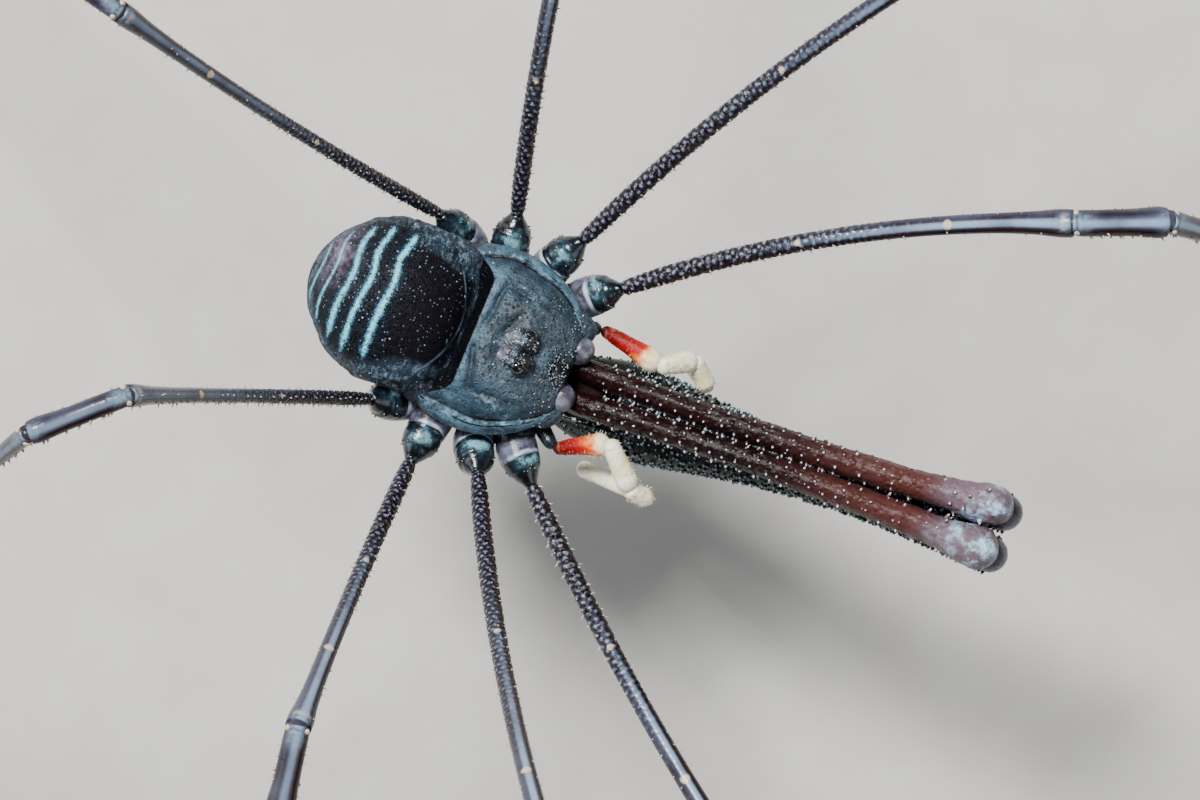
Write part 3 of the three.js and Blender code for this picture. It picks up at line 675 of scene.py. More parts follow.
def trochanter_finish():
    """Glossy blue-black shell with a painted teal highlight on top, and lilac patches at the femur's socket.
    """
    f = Finish("trochanter shell", Specular_IOR_Level=0.5, Coat_Weight=0.1, Coat_Roughness=0.1)
    cloud, fine = f.noise(3.4, 4, 0.65), f.noise(10, 4, 0.65)
    f.colour = f.mottle(cloud, 0.3, 0.7, (4, 7, 11), (13, 23, 31))
    # Bloom: a painted highlight on top, teal and then pale cyan at its brightest.
    bloom = f.times(f.mark("bloom"), f.step(cloud, 0.3, 0.68, 0.25, 1.0))
    f.paint((38, 60, 73), f.step(bloom, 0.1, 0.8, 0.0, 0.8))
    f.paint((122, 168, 180), f.step(bloom, 0.5, 1.0, 0.0, 0.9))
    f.paint((46, 68, 80), f.step(fine, 0.55, 0.8, 0.0, 0.4))
    patch = f.times(f.mark("socket"), f.step(cloud, 0.34, 0.6, 0.3, 1.0))
    f.paint((104, 106, 124), f.step(patch, 0.3, 0.8, 0.0, 0.8))
    f.paint((190, 200, 200), f.marked("tip", 0.2, 0.7, 0.9))
    height = f.plus(f.times(fine, 0.5), f.times(f.noise(4, 3, 0.6), 1.5))
    return f.done(fine, (0.14, 0.26), height, 0.015)


def leg_finish():
    """Steel blue-mauve top, dark red below, partly painted light; beaded near the body, smooth further out.
    """
    f = Finish("leg shell", Specular_IOR_Level=0.28)
    cloud, fine = f.noise(0.8, 3, 0.6), f.noise(12, 4, 0.65)
    below = f.mottle(cloud, 0.38, 0.64, (38, 9, 12), (14, 5, 10))
    near = f.mottle(fine, 0.38, 0.64, (12, 8, 13), (38, 33, 46))
    far = f.mottle(cloud, 0.36, 0.64, (40, 34, 45), (58, 60, 76))
    # Streak: a painted highlight along the top of the outer stretches.
    far = f.blend(f.times(f.mark("streak"), f.step(cloud, 0.3, 0.6, 0.5, 1.0)), far, (138, 158, 184))
    # Upper: a real dark red underside and bluish top, with painted light in its lean and sharp parting.
    f.colour = f.blend(f.mark("upper"), below, f.blend(f.mark("outer"), near, far))
    # Painted glints on the tops of the tubercles, on the lit side.
    f.paint((144, 154, 184), f.mark("crest"), f.step(fine, 0.35, 0.6, 0.1, 0.9))
    # Groove: painted shade between the femur's rings of tubercles, and dark joint lines further out.
    f.paint((4, 2, 4), f.marked("groove", 0.1, 0.9, 0.9))
    spots = f.plus(f.mark("ring"), f.step(fine, 0.3, 0.7, -0.15, 0.1))
    f.paint((206, 184, 160), f.step(spots, 0.2, 0.95, 0.0, 0.9))
    f.paint((128, 150, 170), f.mark("joint"), f.step(fine, 0.35, 0.65, 0.2, 0.6))
    f.paint((210, 198, 178), f.marked("tip", 0.0, 0.1, 0.9))
    height = f.times(f.step(f.mark("outer"), 0.1, 0.6, 1.0, 0.12), f.plus(f.times(f.pebbles(9), 1.2), fine))
    return f.done(fine, (0.16, 0.28), height, 0.016)


def jaw_finish():
    """Dark red-brown shell with a tan seam, lilac knees with a painted highlight, and white-tipped denticles.
    """
    f = Finish("jaw shell", Specular_IOR_Level=0.22)
    cloud, fine = f.noise(1.3, 4, 0.6, f.stretched(0.4, 1, 1)), f.noise(12, 4, 0.7)
    f.colour = f.mottle(cloud, 0.35, 0.66, (12, 3, 4), (30, 9, 9))
    f.paint((88, 48, 43), f.marked("far", 0.3, 1.0, 0.65))
    f.paint((76, 60, 70), f.step(fine, 0.5, 0.76, 0.0, 0.2))
    f.paint((128, 92, 64), f.marked("seam", 0.2, 0.9), f.step(fine, 0.35, 0.6, 0.2, 0.7))
    # Painted highlight over the knee's lilac colour, bluish white at its brightest.
    bloom = f.times(f.mark("knee"), f.step(f.noise(1.9, 5, 0.7), 0.34, 0.7))
    f.paint((108, 92, 104), f.marked("knee", 0.0, 0.7, 0.7))
    f.paint((150, 178, 200), f.step(bloom, 0.15, 0.9, 0.0, 0.95))
    f.paint((196, 224, 240), f.step(bloom, 0.5, 1.0, 0.0, 0.85))
    # Tip: pale denticle tips, partly real colour and partly painted glints.
    f.paint((222, 214, 226), f.marked("tip", 0.2, 0.75, 0.9))
    height = f.plus(f.times(f.pebbles(7), 0.8), f.plus(fine, cloud))
    return f.done(fine, (0.24, 0.38), height, 0.02)


def hand_finish():
    """Greenish black shell, brown and lilac by the knee, with painted blue-white glints on its tubercles'
    tips.
    """
    f = Finish("hand shell", Specular_IOR_Level=0.3, Coat_Weight=0.05, Coat_Roughness=0.15)
    cloud, fine = f.noise(1.5, 4, 0.6), f.noise(12, 4, 0.7)
    f.colour = f.mottle(cloud, 0.38, 0.66, (5, 9, 11), (19, 31, 34))
    f.paint((56, 29, 20), f.mark("brown"), f.step(fine, 0.3, 0.7, 0.4, 0.8))
    f.paint((92, 88, 106), f.mark("knee"), f.step(cloud, 0.4, 0.6, 0.3, 0.9))
    # Painted glints on the tips of the tubercles.
    f.paint((62, 92, 104), f.marked("tip", 0.2, 0.55, 0.85))
    f.paint((200, 230, 240), f.marked("tip", 0.5, 0.8, 0.95))
    return f.done(fine, (0.16, 0.32), fine, 0.02)


def gullet_finish():
    """Dull dark red skin between the roots of the jaws, near black as painted shade for the gap there."""
    f = Finish("gullet skin", Specular_IOR_Level=0.1)
    cloud, fine = f.noise(2.5, 4, 0.6), f.noise(10, 4, 0.6)
    f.colour = f.mottle(cloud, 0.35, 0.65, (8, 4, 5), (34, 12, 12))
    return f.done(fine, (0.6, 0.85), f.plus(cloud, fine), 0.03)


def palp_finish():
    """Waxy cream, orange and then red towards the root, a little translucent."""
    f = Finish("palp wax", Specular_IOR_Level=0.25, Subsurface_Weight=0.08, Subsurface_Scale=0.0001,
               Subsurface_Radius=(1.0, 0.6, 0.35))
    cloud, fine = f.noise(2.2, 4, 0.6), f.noise(10, 4, 0.6)
    f.colour = f.mottle(cloud, 0.35, 0.68, (240, 229, 180), (255, 251, 232))
    heat = f.plus(f.mark("red"), f.step(cloud, 0.3, 0.7, -0.12, 0.12))
    f.paint((246, 128, 44), f.step(heat, 0.16, 0.42))
    f.paint((166, 8, 5), f.step(heat, 0.27, 0.54))
    f.paint((112, 2, 3), f.step(heat, 0.5, 0.85))
    f.paint((36, 5, 7), f.step(heat, 0.95, 1.12, 0.0, 0.85))
    f.paint((150, 110, 84), f.mark("joint"), f.step(fine, 0.35, 0.65, 0.1, 0.7))
    f.paint((146, 96, 66), f.specks(2.4, 0.16, 0.25), 0.6)
    f.paint((250, 250, 240), f.marked("tip", 0.3, 0.9, 0.6))
    return f.done(fine, (0.3, 0.5), f.plus(fine, cloud), 0.03)


def mound_finish():
    """Black and glossy in front, blue-grey on top, pale lilac behind; tubercle tips white, partly painted
    glints.
    """
    f = Finish("eye mound", Specular_IOR_Level=0.5, Coat_Weight=0.4, Coat_Roughness=0.08)
    cloud, fine, pebbles = f.noise(6, 4, 0.65), f.noise(16, 4, 0.7), f.pebbles(8)
    top = f.mottle(cloud, 0.36, 0.66, (30, 33, 40), (112, 130, 144))
    rear = f.mottle(cloud, 0.34, 0.66, (84, 70, 86), (178, 190, 208))
    place = f.plus(f.mark("rear"), f.step(fine, 0.3, 0.7, -0.16, 0.16))
    f.colour = f.mottle(fine, 0.45, 0.7, (4, 6, 9), (22, 32, 38))
    f.paint(top, f.step(place, 0.12, 0.3))
    f.paint(rear, f.step(place, 0.6, 1.0))
    # Tip: white tubercle tips, partly real colour and partly painted glints.
    f.paint((214, 228, 238), f.marked("tip", 0.3, 0.8, 0.9))
    f.paint((14, 14, 20), f.step(pebbles, 0.0, 0.4, 0.6, 0.0))
    return f.done(fine, (0.14, 0.3), f.plus(pebbles, f.times(fine, 0.5)), 0.05)


def lobe_finish():
    """Smooth violet-grey skin with a soft sheen, pinker and darker towards its root."""
    f = Finish("lobe skin", Specular_IOR_Level=0.5, Subsurface_Weight=0.2, Subsurface_Scale=0.0002)
    cloud, fine = f.noise(2.5, 4, 0.6), f.noise(14, 3, 0.6)
    threads = f.noise(9, 3, 0.6, f.stretched(0.5, 2, 1))
    f.colour = f.mottle(cloud, 0.35, 0.68, (66, 56, 70), (130, 139, 160))
    f.paint((150, 164, 184), f.step(threads, 0.5, 0.75, 0.0, 0.35))
    f.paint((64, 22, 30), f.mark("root"), f.step(cloud, 0.3, 0.6, 0.5, 1.0))
    return f.done(fine, (0.26, 0.4), f.plus(fine, threads), 0.015)


def eye_finish():
    """Wet black lens with a faint blue bloom."""
    f = Finish("eye lens", Specular_IOR_Level=0.8, Coat_Weight=1.0, Coat_Roughness=0.03)
    bloom = f.noise(4, 2, 0.5)
    f.colour = f.mottle(bloom, 0.4, 0.7, (4, 5, 8), (18, 28, 38))
    return f.done(bloom, (0.05, 0.1), bloom, 0.002)


def floor_finish():
    """Pale matt board with a trace of grain."""
    f = Finish("pale board", Specular_IOR_Level=0.2)
    grain = f.noise(0.6, 4, 0.6)
    f.colour = f.mottle(grain, 0.3, 0.7, (190, 187, 182), (196, 194, 189))
    return f.done(grain, (0.8, 0.9), grain, 0.02)


# The body.


def fold_depth(x, y):
    """How much the folds raise the carapace: each is a bell across its straight run."""
    spot = flat(x, y)
    along, across = x + 0.025 * ripple(spot, 0.9, 31), np.abs(y) + 0.025 * ripple(spot, 0.9, 32)
    rise = np.zeros(along.shape)
    for (x0, y0), (x1, y1), half_width, height in FOLDS:
        run = np.array([x1 - x0, y1 - y0])
        share = ((along - x0) * run[0] + (across - y0) * run[1]) / (run @ run)
        held = np.clip(share, 0, 1)
        distance = np.hypot(along - x0 - held * run[0], across - y0 - held * run[1])
        fade = ease(-0.15, 0.2, share) * ease(1.15, 0.8, share)
        rise = rise + height * fade * bump_at(distance, 0, half_width)
    return rise


def carapace_top(x, y):
    """Height of the carapace's top: its height along the middle times the crown's fall to the rim."""
    side = rim_share(x, y)
    spot = flat(x, y)
    wrinkle = 0.008 * ripple(spot, 1.6, 5) + 0.003 * ripple(spot, 4.5, 6) + 0.02 * crease(x, y)
    crown = profile(CARAPACE["crown"], side)
    return crown * profile(CARAPACE["high"], x) + (fold_depth(x, y) + wrinkle) * ease(1.0, 0.9, side)


def rim_share(x, y):
    """How far out a place is, 0 in the middle and 1 at the edge, wavering a little on the way."""
    spot = flat(x, y)
    side = np.abs(y) / profile(CARAPACE["wide"], x)
    return np.clip(side + 0.014 * ripple(spot, 0.7, 41) * ease(1.0, 0.85, side), 0, 1)


def crease(x, y):
    """Thin raised creases, where slow waves cross nought: 1 less their height, cut off below."""
    spot = flat(x, y) * np.array([0.7, 1.2, 1.0])
    sharp = np.clip(1 - 4 * np.abs(ripple(spot, 0.55, 43)), 0, 1)
    return sharp * ease(0.3, 0.75, rim_share(x, y)) * ease(0.0, 1.0, ripple(spot, 0.4, 44))


def carapace():
    """The shield: a top and a bowl below it, drawn across as a cosine and along by an even share."""
    top = np.linspace(0, np.pi, CARAPACE["top"], endpoint=False)
    under = np.linspace(np.pi, 2 * np.pi, CARAPACE["under"], endpoint=False)
    turn = np.concatenate([top, under])[None, :]
    across = np.cos(turn)
    share = np.linspace(0, 1, CARAPACE["rings"])[:, None]
    hind = CARAPACE["corner"] * ease(CARAPACE["corner_from"], 0.97, np.abs(across))
    x = hind + (CARAPACE["front"] - hind) * share
    y = across * profile(CARAPACE["wide"], x)
    lip = ease(0.0, 0.03, x - hind) * ease(0.0, 0.06, CARAPACE["front"] - x)
    upper = carapace_top(x, y) * (0.8 + 0.2 * lip)
    z = np.where(np.sin(turn) >= 0, upper, np.sin(turn) * profile(CARAPACE["deep"], x))
    side = rim_share(x, y)
    spot = np.stack([x, y, z], axis=-1)
    groove = bump_at(side, 0.84, 0.014) * ease(-0.55, -0.2, x) * ease(-1.6, 0.6, ripple(spot, 1.1, 47))
    rim_fold = bump_at(side, 0.905, 0.01) * ease(-0.2, 0.6, ripple(spot, 1.5, 48))
    bulge = bump_at(np.hypot(x - BROW["bulge"][0], y - BROW["bulge"][1]), 0, 0.14)
    folds = fold_depth(x, y)
    rim_band = ease(0.85, 0.9, side) * ease(-0.7, 0.3, x)
    hind_band = ease(0.35, 0.05, x) * ease(0.9, 0.7, side)
    marks = {
        # Painted shade: grooves, sunk folds, and the hind edge where the abdomen runs under.
        "fold": groove + rim_fold + 0.45 * ease(0.0, -0.05, folds) + ease(0.06, 0.02, x - hind),
        "band": 0.9 * rim_band + 0.6 * hind_band,
        # Painted highlight on creases, raised folds, the rim's crest and the brow's bulge.
        "ridge": crease(x, y) + 0.6 * ease(0.0, 0.03, folds) + 0.75 * bump_at(side, 0.89, 0.05) + bulge,
        "grey": ease(0.5, 1.6, x) * ease(0.8, 0.5, side),
        # Where shade is painted in the hollow at the brow.
        "brow": bump_at(x, BROW["x"][1], 0.26) * bump_at(y, 0, 0.6 * BROW["y"]),
    }
    return closed(spot, spot[0].mean(axis=0), spot[-1].mean(axis=0), **marks)


def shoulder(sign):
    """The rounded front corner of the carapace on one side."""
    x, y, z = SHOULDER["place"]
    corner = ball((x, sign * y, z), SHOULDER["size"], rings=32, sides=40, rough=0.03, grain=1.6)
    return marked(corner, grey=0.7)


def carapace_grains():
    """Grains over the carapace with white tips, partly painted glints, thicker towards its front edge."""
    rear, front = GRAINS["x"]
    x = rear + (front - rear) * np.sqrt(chance.uniform(0, 1, GRAINS["count"]))
    y = chance.uniform(-1, 1, GRAINS["count"]) * GRAINS["y"]
    places = np.stack([x, y, carapace_top(x, y)], axis=-1)
    ways = np.stack([0.3 + 0 * x, 0.3 * y, 1 + 0 * x], axis=-1)
    width = chance.uniform(*GRAINS["width"], len(x)) * (1 + 0.6 * ease(1.5, 2.0, x))
    return stand(GRAIN, places, ways, width, width * GRAINS["tall"])


def brow():
    """The spiny patch in the middle of the front edge: denticles that lean forwards and outwards."""
    x = chance.uniform(*BROW["x"], BROW["count"])
    y = chance.uniform(-1, 1, BROW["count"]) * BROW["y"] * ease(1.5, 1.95, x)
    places = np.stack([x, y, carapace_top(x, y)], axis=-1)
    ways = np.stack([0.4 + 0 * x, 0.9 * y, 1 + 0 * x], axis=-1)
    width = chance.uniform(*BROW["width"], len(x))
    return stand(DENTICLE, places, ways, width, chance.uniform(*BROW["height"], len(x)))


def abdomen():
    """A long dome: cosine steps from rear to front, at which the half width, height and depth
    follow profiles of the step's angle, and cosines and sines across, with folds on the flanks."""
    slide = np.linspace(0.6, 179.4, ABDOMEN["rings"])[:, None]
    turn = np.linspace(0, 2 * np.pi, ABDOMEN["sides"], endpoint=False)[None, :]
    share = (1 - np.cos(np.radians(slide))) / 2
    x = ABDOMEN["from"] + (ABDOMEN["to"] - ABDOMEN["from"]) * share * np.ones_like(turn)
    across, rise = np.cos(turn), np.sin(turn)
    y = across * profile(ABDOMEN["wide"], slide)
    z = rise * np.where(rise >= 0, profile(ABDOMEN["high"], slide), profile(ABDOMEN["deep"], slide))
    spot = np.stack([x, y, z], axis=-1)
    waver = 0.008 * ripple(spot, 1.0, 21)
    reach = np.abs(y) + 0.03 * np.sin(3 * x)
    edge = profile(FLANK, x)
    flank = ease(edge - 0.1, edge + 0.16, reach + 0.05 * ripple(spot, 0.9, 22)) + ease(0.5, 0.2, z)
    flank = np.clip(flank, 0, 1)
    stripe, pale, groove = np.full(x.shape, -1.0), np.zeros(x.shape), np.zeros(x.shape)
    for place, half_width, side, bright, bow in STRIPES:
        off = x + waver - place - profile(STRIPE_BEND, y) - bow * y * y
        near = 1 - np.abs(off) / half_width - 2 * ease(side - 0.3, side + 0.15, reach)
        near = np.where(z > 0, near, -1)
        pale = np.where(near > stripe, bright, pale)
        stripe = np.maximum(stripe, near)
        groove = groove + bump_at(off, -2.4 * half_width, 0.05)
    arc = VELVET["front"] - VELVET["bow"] * y * y
    marks = {
        "stripe": stripe,
        "pale": pale,
        "line": bump_at(x, arc, VELVET["line"]) * ease(1.25, 1.0, reach) * (z > 0),
        "velvet": ease(STRIPES[0][0] + 0.2, STRIPES[0][0] + 0.4, x) * (1 - flank) * (x < arc),
        "flank": flank,
        "rosy": bump_at(x, -2.98, 0.34) * bump_at(y, 0.4, 0.55) * (z > 0),
        # Painted shade where the abdomen meets the carapace's hind edge.
        "fold": ease(-0.2, -0.1, x) * ease(1.3, 1.0, reach) * (z > 0),
    }
    wrinkle = ripple(spot * np.array([0.8, 2.0, 2.6]), 1.3, 8) * flank
    pleats = np.sin(2 * np.pi * (reach + 0.06 * ripple(spot, 0.6, 23)) / 0.17) * flank * (z > 0)
    lift = 0.02 * wrinkle + 0.012 * pleats - 0.012 * groove + 0.004 * ripple(spot, 3.0, 9)
    rings = spot * (1 + (lift / np.linalg.norm(spot - [[[-1.6, 0, 0]]], axis=-1))[..., None] * [0, 1, 1])
    ends = rings[0].mean(axis=0), rings[-1].mean(axis=0)
    return closed(rings, ends[0], ends[1], **marks)


def pleura(sign):
    """The wrinkled soft skin between the abdomen and a hind corner of the carapace."""
    x, y, z = PLEURA["place"]
    fold = ball((x, sign * y, z), PLEURA["size"], rings=60, sides=72, rough=0.035, grain=2.2, seed=15 + sign)
    return marked(fold, flank=1.0, pleura=1.0)


def eye_mound():
    """Two rough eggs side by side, pale behind, with lids, and tubercles whose white tips are partly painted
    glints.
    """
    shapes = []
    count = MOUND["count"]
    for sign in SIDES.values():
        centre = np.array([MOUND["x"], sign * MOUND["y"], MOUND["z"]])
        lobe = ball(centre, MOUND["size"], rings=60, sides=72, rough=0.045, grain=3.2, seed=11 + sign)
        forward, outward = chance.uniform(-0.5, 1, count), sign * chance.uniform(-0.3, 1, count)
        ways = unit(np.stack([forward, outward, chance.uniform(0.15, 0.9, count)], axis=-1))
        width = chance.uniform(*MOUND["width"], count)
        tubercles = stand(GRAIN, centre + ways * np.array(MOUND["size"]), ways, width, 1.3 * width)
        for shape in (lobe, tubercles):
            shapes.append(marked(shape, rear=ease(0.34, -0.3, shape.points[:, 0] - MOUND["x"])))
        shapes.append(eyelid(sign))
    return shapes


def eyelid(sign):
    """A raised ring round the eye: a circle in the plane that the eye looks out of."""
    look = unit(np.array(EYE["way"]) * [1, sign, 1])
    one = unit(np.cross(UP, look))
    two = np.cross(look, one)
    turn = np.linspace(0, 2 * np.pi, 48, endpoint=False)[:, None, None]
    small = np.linspace(0, 2 * np.pi, 10, endpoint=False)[None, :, None]
    outwards = np.cos(turn) * one + np.sin(turn) * two
    centre = np.array([EYE["x"], sign * EYE["y"], EYE["z"]]) + 0.35 * EYE["radius"] * look
    rim = 0.97 * EYE["radius"]
    rings = centre + outwards * (rim + EYE["lid"] * np.cos(small)) + look * EYE["lid"] * np.sin(small)
    rows, columns = rings.shape[:2]
    i, j = pairings(np.arange(rows), np.arange(columns))
    k, m = (i + 1) % rows, (j + 1) % columns
    quads = np.stack([i * columns + j, k * columns + j, k * columns + m, i * columns + m], axis=-1)
    return Shape(rings.reshape(-1, 3), quads, np.zeros((0, 3), int), {})


def body():
    """The trunk's pieces: carapace, abdomen, eye mound, lip, eyes and the lobes over the jaws."""
    leather, grit, lens, skin = carapace_finish(), mound_finish(), eye_finish(), lobe_finish()
    piece("carapace_shield", [carapace(), shoulder(1), shoulder(-1)], leather, "carapace", "carapace")
    piece("carapace_grains", [carapace_grains(), brow()], grit, "carapace")
    piece("abdomen_shell", [abdomen(), pleura(1), pleura(-1)], abdomen_finish(), "abdomen", "abdomen")
    piece("eye_mound_shell", eye_mound(), grit, "carapace", "eye_mound")
    # The lip sits in the gap between the jaw roots; its near-black colour is painted shade for that gap.
    lip = ball(LIP["place"], LIP["size"], rings=40, sides=48, rough=0.04, grain=1.5)
    piece("lip", [lip], gullet_finish(), "carapace")
    for side, sign in SIDES.items():
        eye = ball((EYE["x"], sign * EYE["y"], EYE["z"]), [EYE["radius"]] * 3)
        piece(f"eye_{side}_lens", [eye], lens, "eye", f"eye_{side}")
        lobe = ball((LOBE["x"], sign * LOBE["y"], LOBE["z"]), LOBE["size"], rings=40, sides=48, rough=0.01)
        forward, _, up = (lobe.points - [LOBE["x"], 0, LOBE["z"]]).T
        piece(f"lobe_{side}", [marked(lobe, root=ease(0.1, 0.3, forward - 0.4 * up))], skin, "carapace")


# Jaws.


def off_line(start, way, length, out, away):
    """Places at even steps along a line, each as far off to its side as away says."""
    return [start + way * (length * i / (len(away) - 1)) + out * off for i, off in enumerate(away)]


def jaw_lines(sign):
    """The middle lines of one jaw's base and hand, the wrist, and the ways outwards and back."""
    along = heading(JAW["compass"], JAW["climb"])
    out = heading(JAW["compass"] + 90, 0) * sign
    back = heading(JAW["compass"] + 180, -HAND["fall"])
    root = np.array(JAW["root"])
    base = off_line(root, along, JAW["length"], out, JAW["away"])
    knee = root + along * JAW["length"] + np.array([HAND["ahead"], 0, -HAND["below"]])
    hand = off_line(knee, back, HAND["length"], out, HAND["away"])
    inside, outside = base[0] - along * JAW["inside"], base[-1] + along * JAW["past_knee"]
    bend = hand[0] - back * HAND["past_knee"]
    base_curves = [bezier([inside, base[0]], 20), bezier(base), bezier([base[-1], outside], 20)]
    hand_curves = [bezier([bend, hand[0]], 20), bezier(hand)]
    return Line(np.concatenate(base_curves)), Line(np.concatenate(hand_curves)), hand[-1], out, back


def jaw_base(line, sign):
    """A base with a seam low on its outer side, lilac at the knee under a painted highlight, and rings of
    denticles.

    Low ridges run along it, as a cosine of nine turns, with waves, bumps and a lumpy knee. Each
    denticle may have a smaller second one near it, and they thin out towards the knee.
    """
    def seam(along, angle):
        return bump_at(np.cos(angle - sign * 1.75), 1, 0.005) * ease(0.6, 1.1, along) * ease(4.6, 2.4, along)

    # The knee: its lilac colour, and where the painted highlight lies, more on top.
    def knee(along, angle):
        return ease(line.length - 2.2, line.length - 0.4, along) * (0.75 + 0.25 * np.cos(angle))

    def far(along, angle):
        return ease(1.5, line.length - 1, along)

    def swell(along, angle):
        ridges = 0.014 * np.cos(9 * angle + 0.8 * np.sin(2.3 * along))
        waves = 0.012 * np.sin(2 * np.pi * along / 0.34)
        bumps = 0.02 * uneven(along, angle, 0.9, 51 + sign) + 0.01 * uneven(along, angle, 2.8, 54 + sign)
        lobes = 0.1 * knee(along, angle) * uneven(along, angle, 0.8, 57 + sign)
        return ridges + waves + bumps + lobes - 0.05 * seam(along, angle)

    marks = {"seam": seam, "knee": knee, "far": far}
    shank = limb(line, JAW["radius"], spacing=0.03, sides=56, tall=JAW["tall"], swell=swell, marks=marks)
    rings = np.arange(DENTICLES["from"], line.length - 0.3, DENTICLES["every"])
    along, angle, second = pairings(rings, np.radians(DENTICLES["turns"]), range(2))
    thinned = (1 - 0.55 * second) * (0.3 + 0.7 * ease(line.length - 1.5, line.length - 5, along))
    kept = chance.uniform(0, 1, along.size) < thinned
    along, angle, second = along[kept], angle[kept], second[kept]
    along = along + chance.normal(0, 0.03 + 0.05 * second) + 0.05 * np.sin(3 * angle)
    angle = angle + chance.normal(0, 0.08 + 0.22 * second)
    width = chance.uniform(*DENTICLES["width"], along.size) * (1 - 0.45 * second)
    height = width * chance.uniform(1.6, 2.4, along.size)
    studs = stand_on_limb(
        DENTICLE, line, JAW["radius"], along, angle, width, height, lean=0.3, tall=JAW["tall"]
    )
    along, angle = np.repeat([along, angle], len(DENTICLE.points), axis=1)
    return [shank, marked(studs, knee=knee(along, angle), far=far(along, angle))]


def jaw_hand(line):
    """A hand with close, uneven rows of tubercles all round, thinner on the shaft by the knee."""
    def knee(along, angle):
        return ease(0.7, 0.1, along)

    def brown(along, angle):
        return ease(4.6, 2.6, along)

    marks = {"knee": knee, "brown": brown}
    palm = limb(line, HAND["radius"], spacing=0.04, sides=48, tall=HAND["tall"], marks=marks)
    rows = 0.4 + (line.length - 0.5) * np.linspace(0, 1, TUBERCLES["rows"]) ** 0.85
    along, angle = pairings(rows, np.linspace(0, 2 * np.pi, TUBERCLES["round"], endpoint=False))
    along = along + chance.normal(0, 0.03, along.size)
    angle = angle + chance.normal(0, 0.12, angle.size)
    width = chance.uniform(*TUBERCLES["width"], along.size)
    high = width * TUBERCLES["tall"]
    knobs = stand_on_limb(GRAIN, line, HAND["radius"], along, angle, width, high, lean=0.2, tall=HAND["tall"])
    return [palm, knobs]


def finger(wrist, back, out, beyond):
    """One finger, rooted in the palm, which bows away from its twin and comes back to it at the tip."""
    start, length = wrist - back * FINGER["sunk"], FINGER["sunk"] + beyond
    line = Line(bezier(off_line(start, back, length, out, FINGER["away"])))
    teeth = np.arange(FINGER["teeth_from"], line.length - 0.2, FINGER["teeth_every"])
    inner = np.arctan2(-np.cross(UP, line.at([0.8])[1][0]) @ out, 0.0) * np.ones_like(teeth)
    row = stand_on_limb(GRAIN, line, FINGER["radius"], teeth, inner, *FINGER["tooth"], lean=0.0)
    count = FINGER["knobs"]
    along = line.length * (0.05 + 0.75 * chance.uniform(0, 1, count) ** 1.4)
    angle = chance.uniform(0, 2 * np.pi, count)
    width = chance.uniform(*FINGER["knob_width"], count)
    knobs = stand_on_limb(GRAIN, line, FINGER["radius"], along, angle, width, width * 1.8, lean=0.1)
    return [limb(line, FINGER["radius"], spacing=0.03, sides=24), row, knobs]


def jaws():
    """Each jaw as its base, its hand with the fixed finger, and the moving finger."""
    red, green = jaw_finish(), hand_finish()
    for side, sign in SIDES.items():
        base, hand, wrist, out, back = jaw_lines(sign)
        fixed = finger(wrist, back, -out, FINGER["fixed"])
        moving = finger(wrist, back, out, FINGER["moving"])
        piece(f"jaw_{side}_base", jaw_base(base, sign), red, "jaw", f"chelicera_{side}_base")
        piece(f"jaw_{side}_hand", jaw_hand(hand) + fixed, green, "hand", f"chelicera_{side}_hand")
        piece(f"jaw_{side}_finger", moving, green, "hand", f"chelicera_{side}_finger")


# Palps.


def hairs_on(line, radii):
    """Fine hairs spread all over a limb."""
    count = HAIRS["count"]
    along = chance.uniform(0.1, line.length - 0.05, count)
    angle = chance.uniform(0, 2 * np.pi, count)
    length = chance.uniform(0.6, 1.2, count) * HAIRS["length"]
    return stand_on_limb(HAIR, line, radii, along, angle, HAIRS["width"], length, lean=0.5)


def palp_stretch(line, name, red, seed):
    """One stretch of a palp, a little uneven, with a darker joint at its root and fine hairs."""
    def joint(along, angle):
        return bump_at(along, PALP_JOINT, 0.02)

    def heat(along, angle):
        return red * (1.05 - along / line.length + 0.06 * np.cos(angle))

    def swell(along, angle):
        return 0.035 * uneven(along, angle, 0.9, seed, 0.2) - 0.07 * bump_at(along, PALP_JOINT, 0.03)

    marks = {"joint": joint, "red": heat}
    skin = limb(line, PALP[name], spacing=0.025, sides=36, swell=swell, marks=marks)
    return [skin, hairs_on(line, PALP[name])]


def palps():
    """Each palp as its root, its thigh and the stretches beyond.

    A stretch's middle line curves from joint to joint over a middle stop, raised for its length.
    """
    wax, shell = palp_finish(), coxa_finish()
    for side, sign in SIDES.items():
        joints = np.array(PALP_JOINTS[side])
        stretches = {}
        for i, name in enumerate(PALP):
            start, end = joints[i], joints[i + 1]
            if i:
                start = start - unit(end - start) * PALP_OVERLAP
            middle = (start + end) / 2 + UP * PALP_BOW * np.linalg.norm(end - start)
            line = Line(bezier([start, middle, end], 60))
            stretches[name] = palp_stretch(line, name, 1.0 if name == "femur" else 0.0, 61 + i)
        x, y, z = PALP_COXA["inner"]
        root = Line(bezier([(x, sign * y, z), joints[0]], 40))
        root = limb(root, PALP_COXA["radius"], spacing=0.04, sides=28)
        piece(f"palp_{side}_root", [root], shell, "carapace")
        piece(f"palp_{side}_thigh", stretches.pop("femur"), wax, "palp_femur", f"palp_{side}_femur")
        rest = [shape for shapes in stretches.values() for shape in shapes]
        piece(f"palp_{side}_outer", rest, wax, "palp", *[f"palp_{side}_{name}" for name in stretches])


# Legs.


def stretch(start, way, length, bend=0.0):
    """A stretch of limb along a compass angle and climb, turning sideways by its bend."""
    compass, climb = way
    middle = start + heading(compass - bend / 2, climb) * length / 2
    end = middle + heading(compass + bend / 2, climb) * length / 2
    return [start, middle, end]


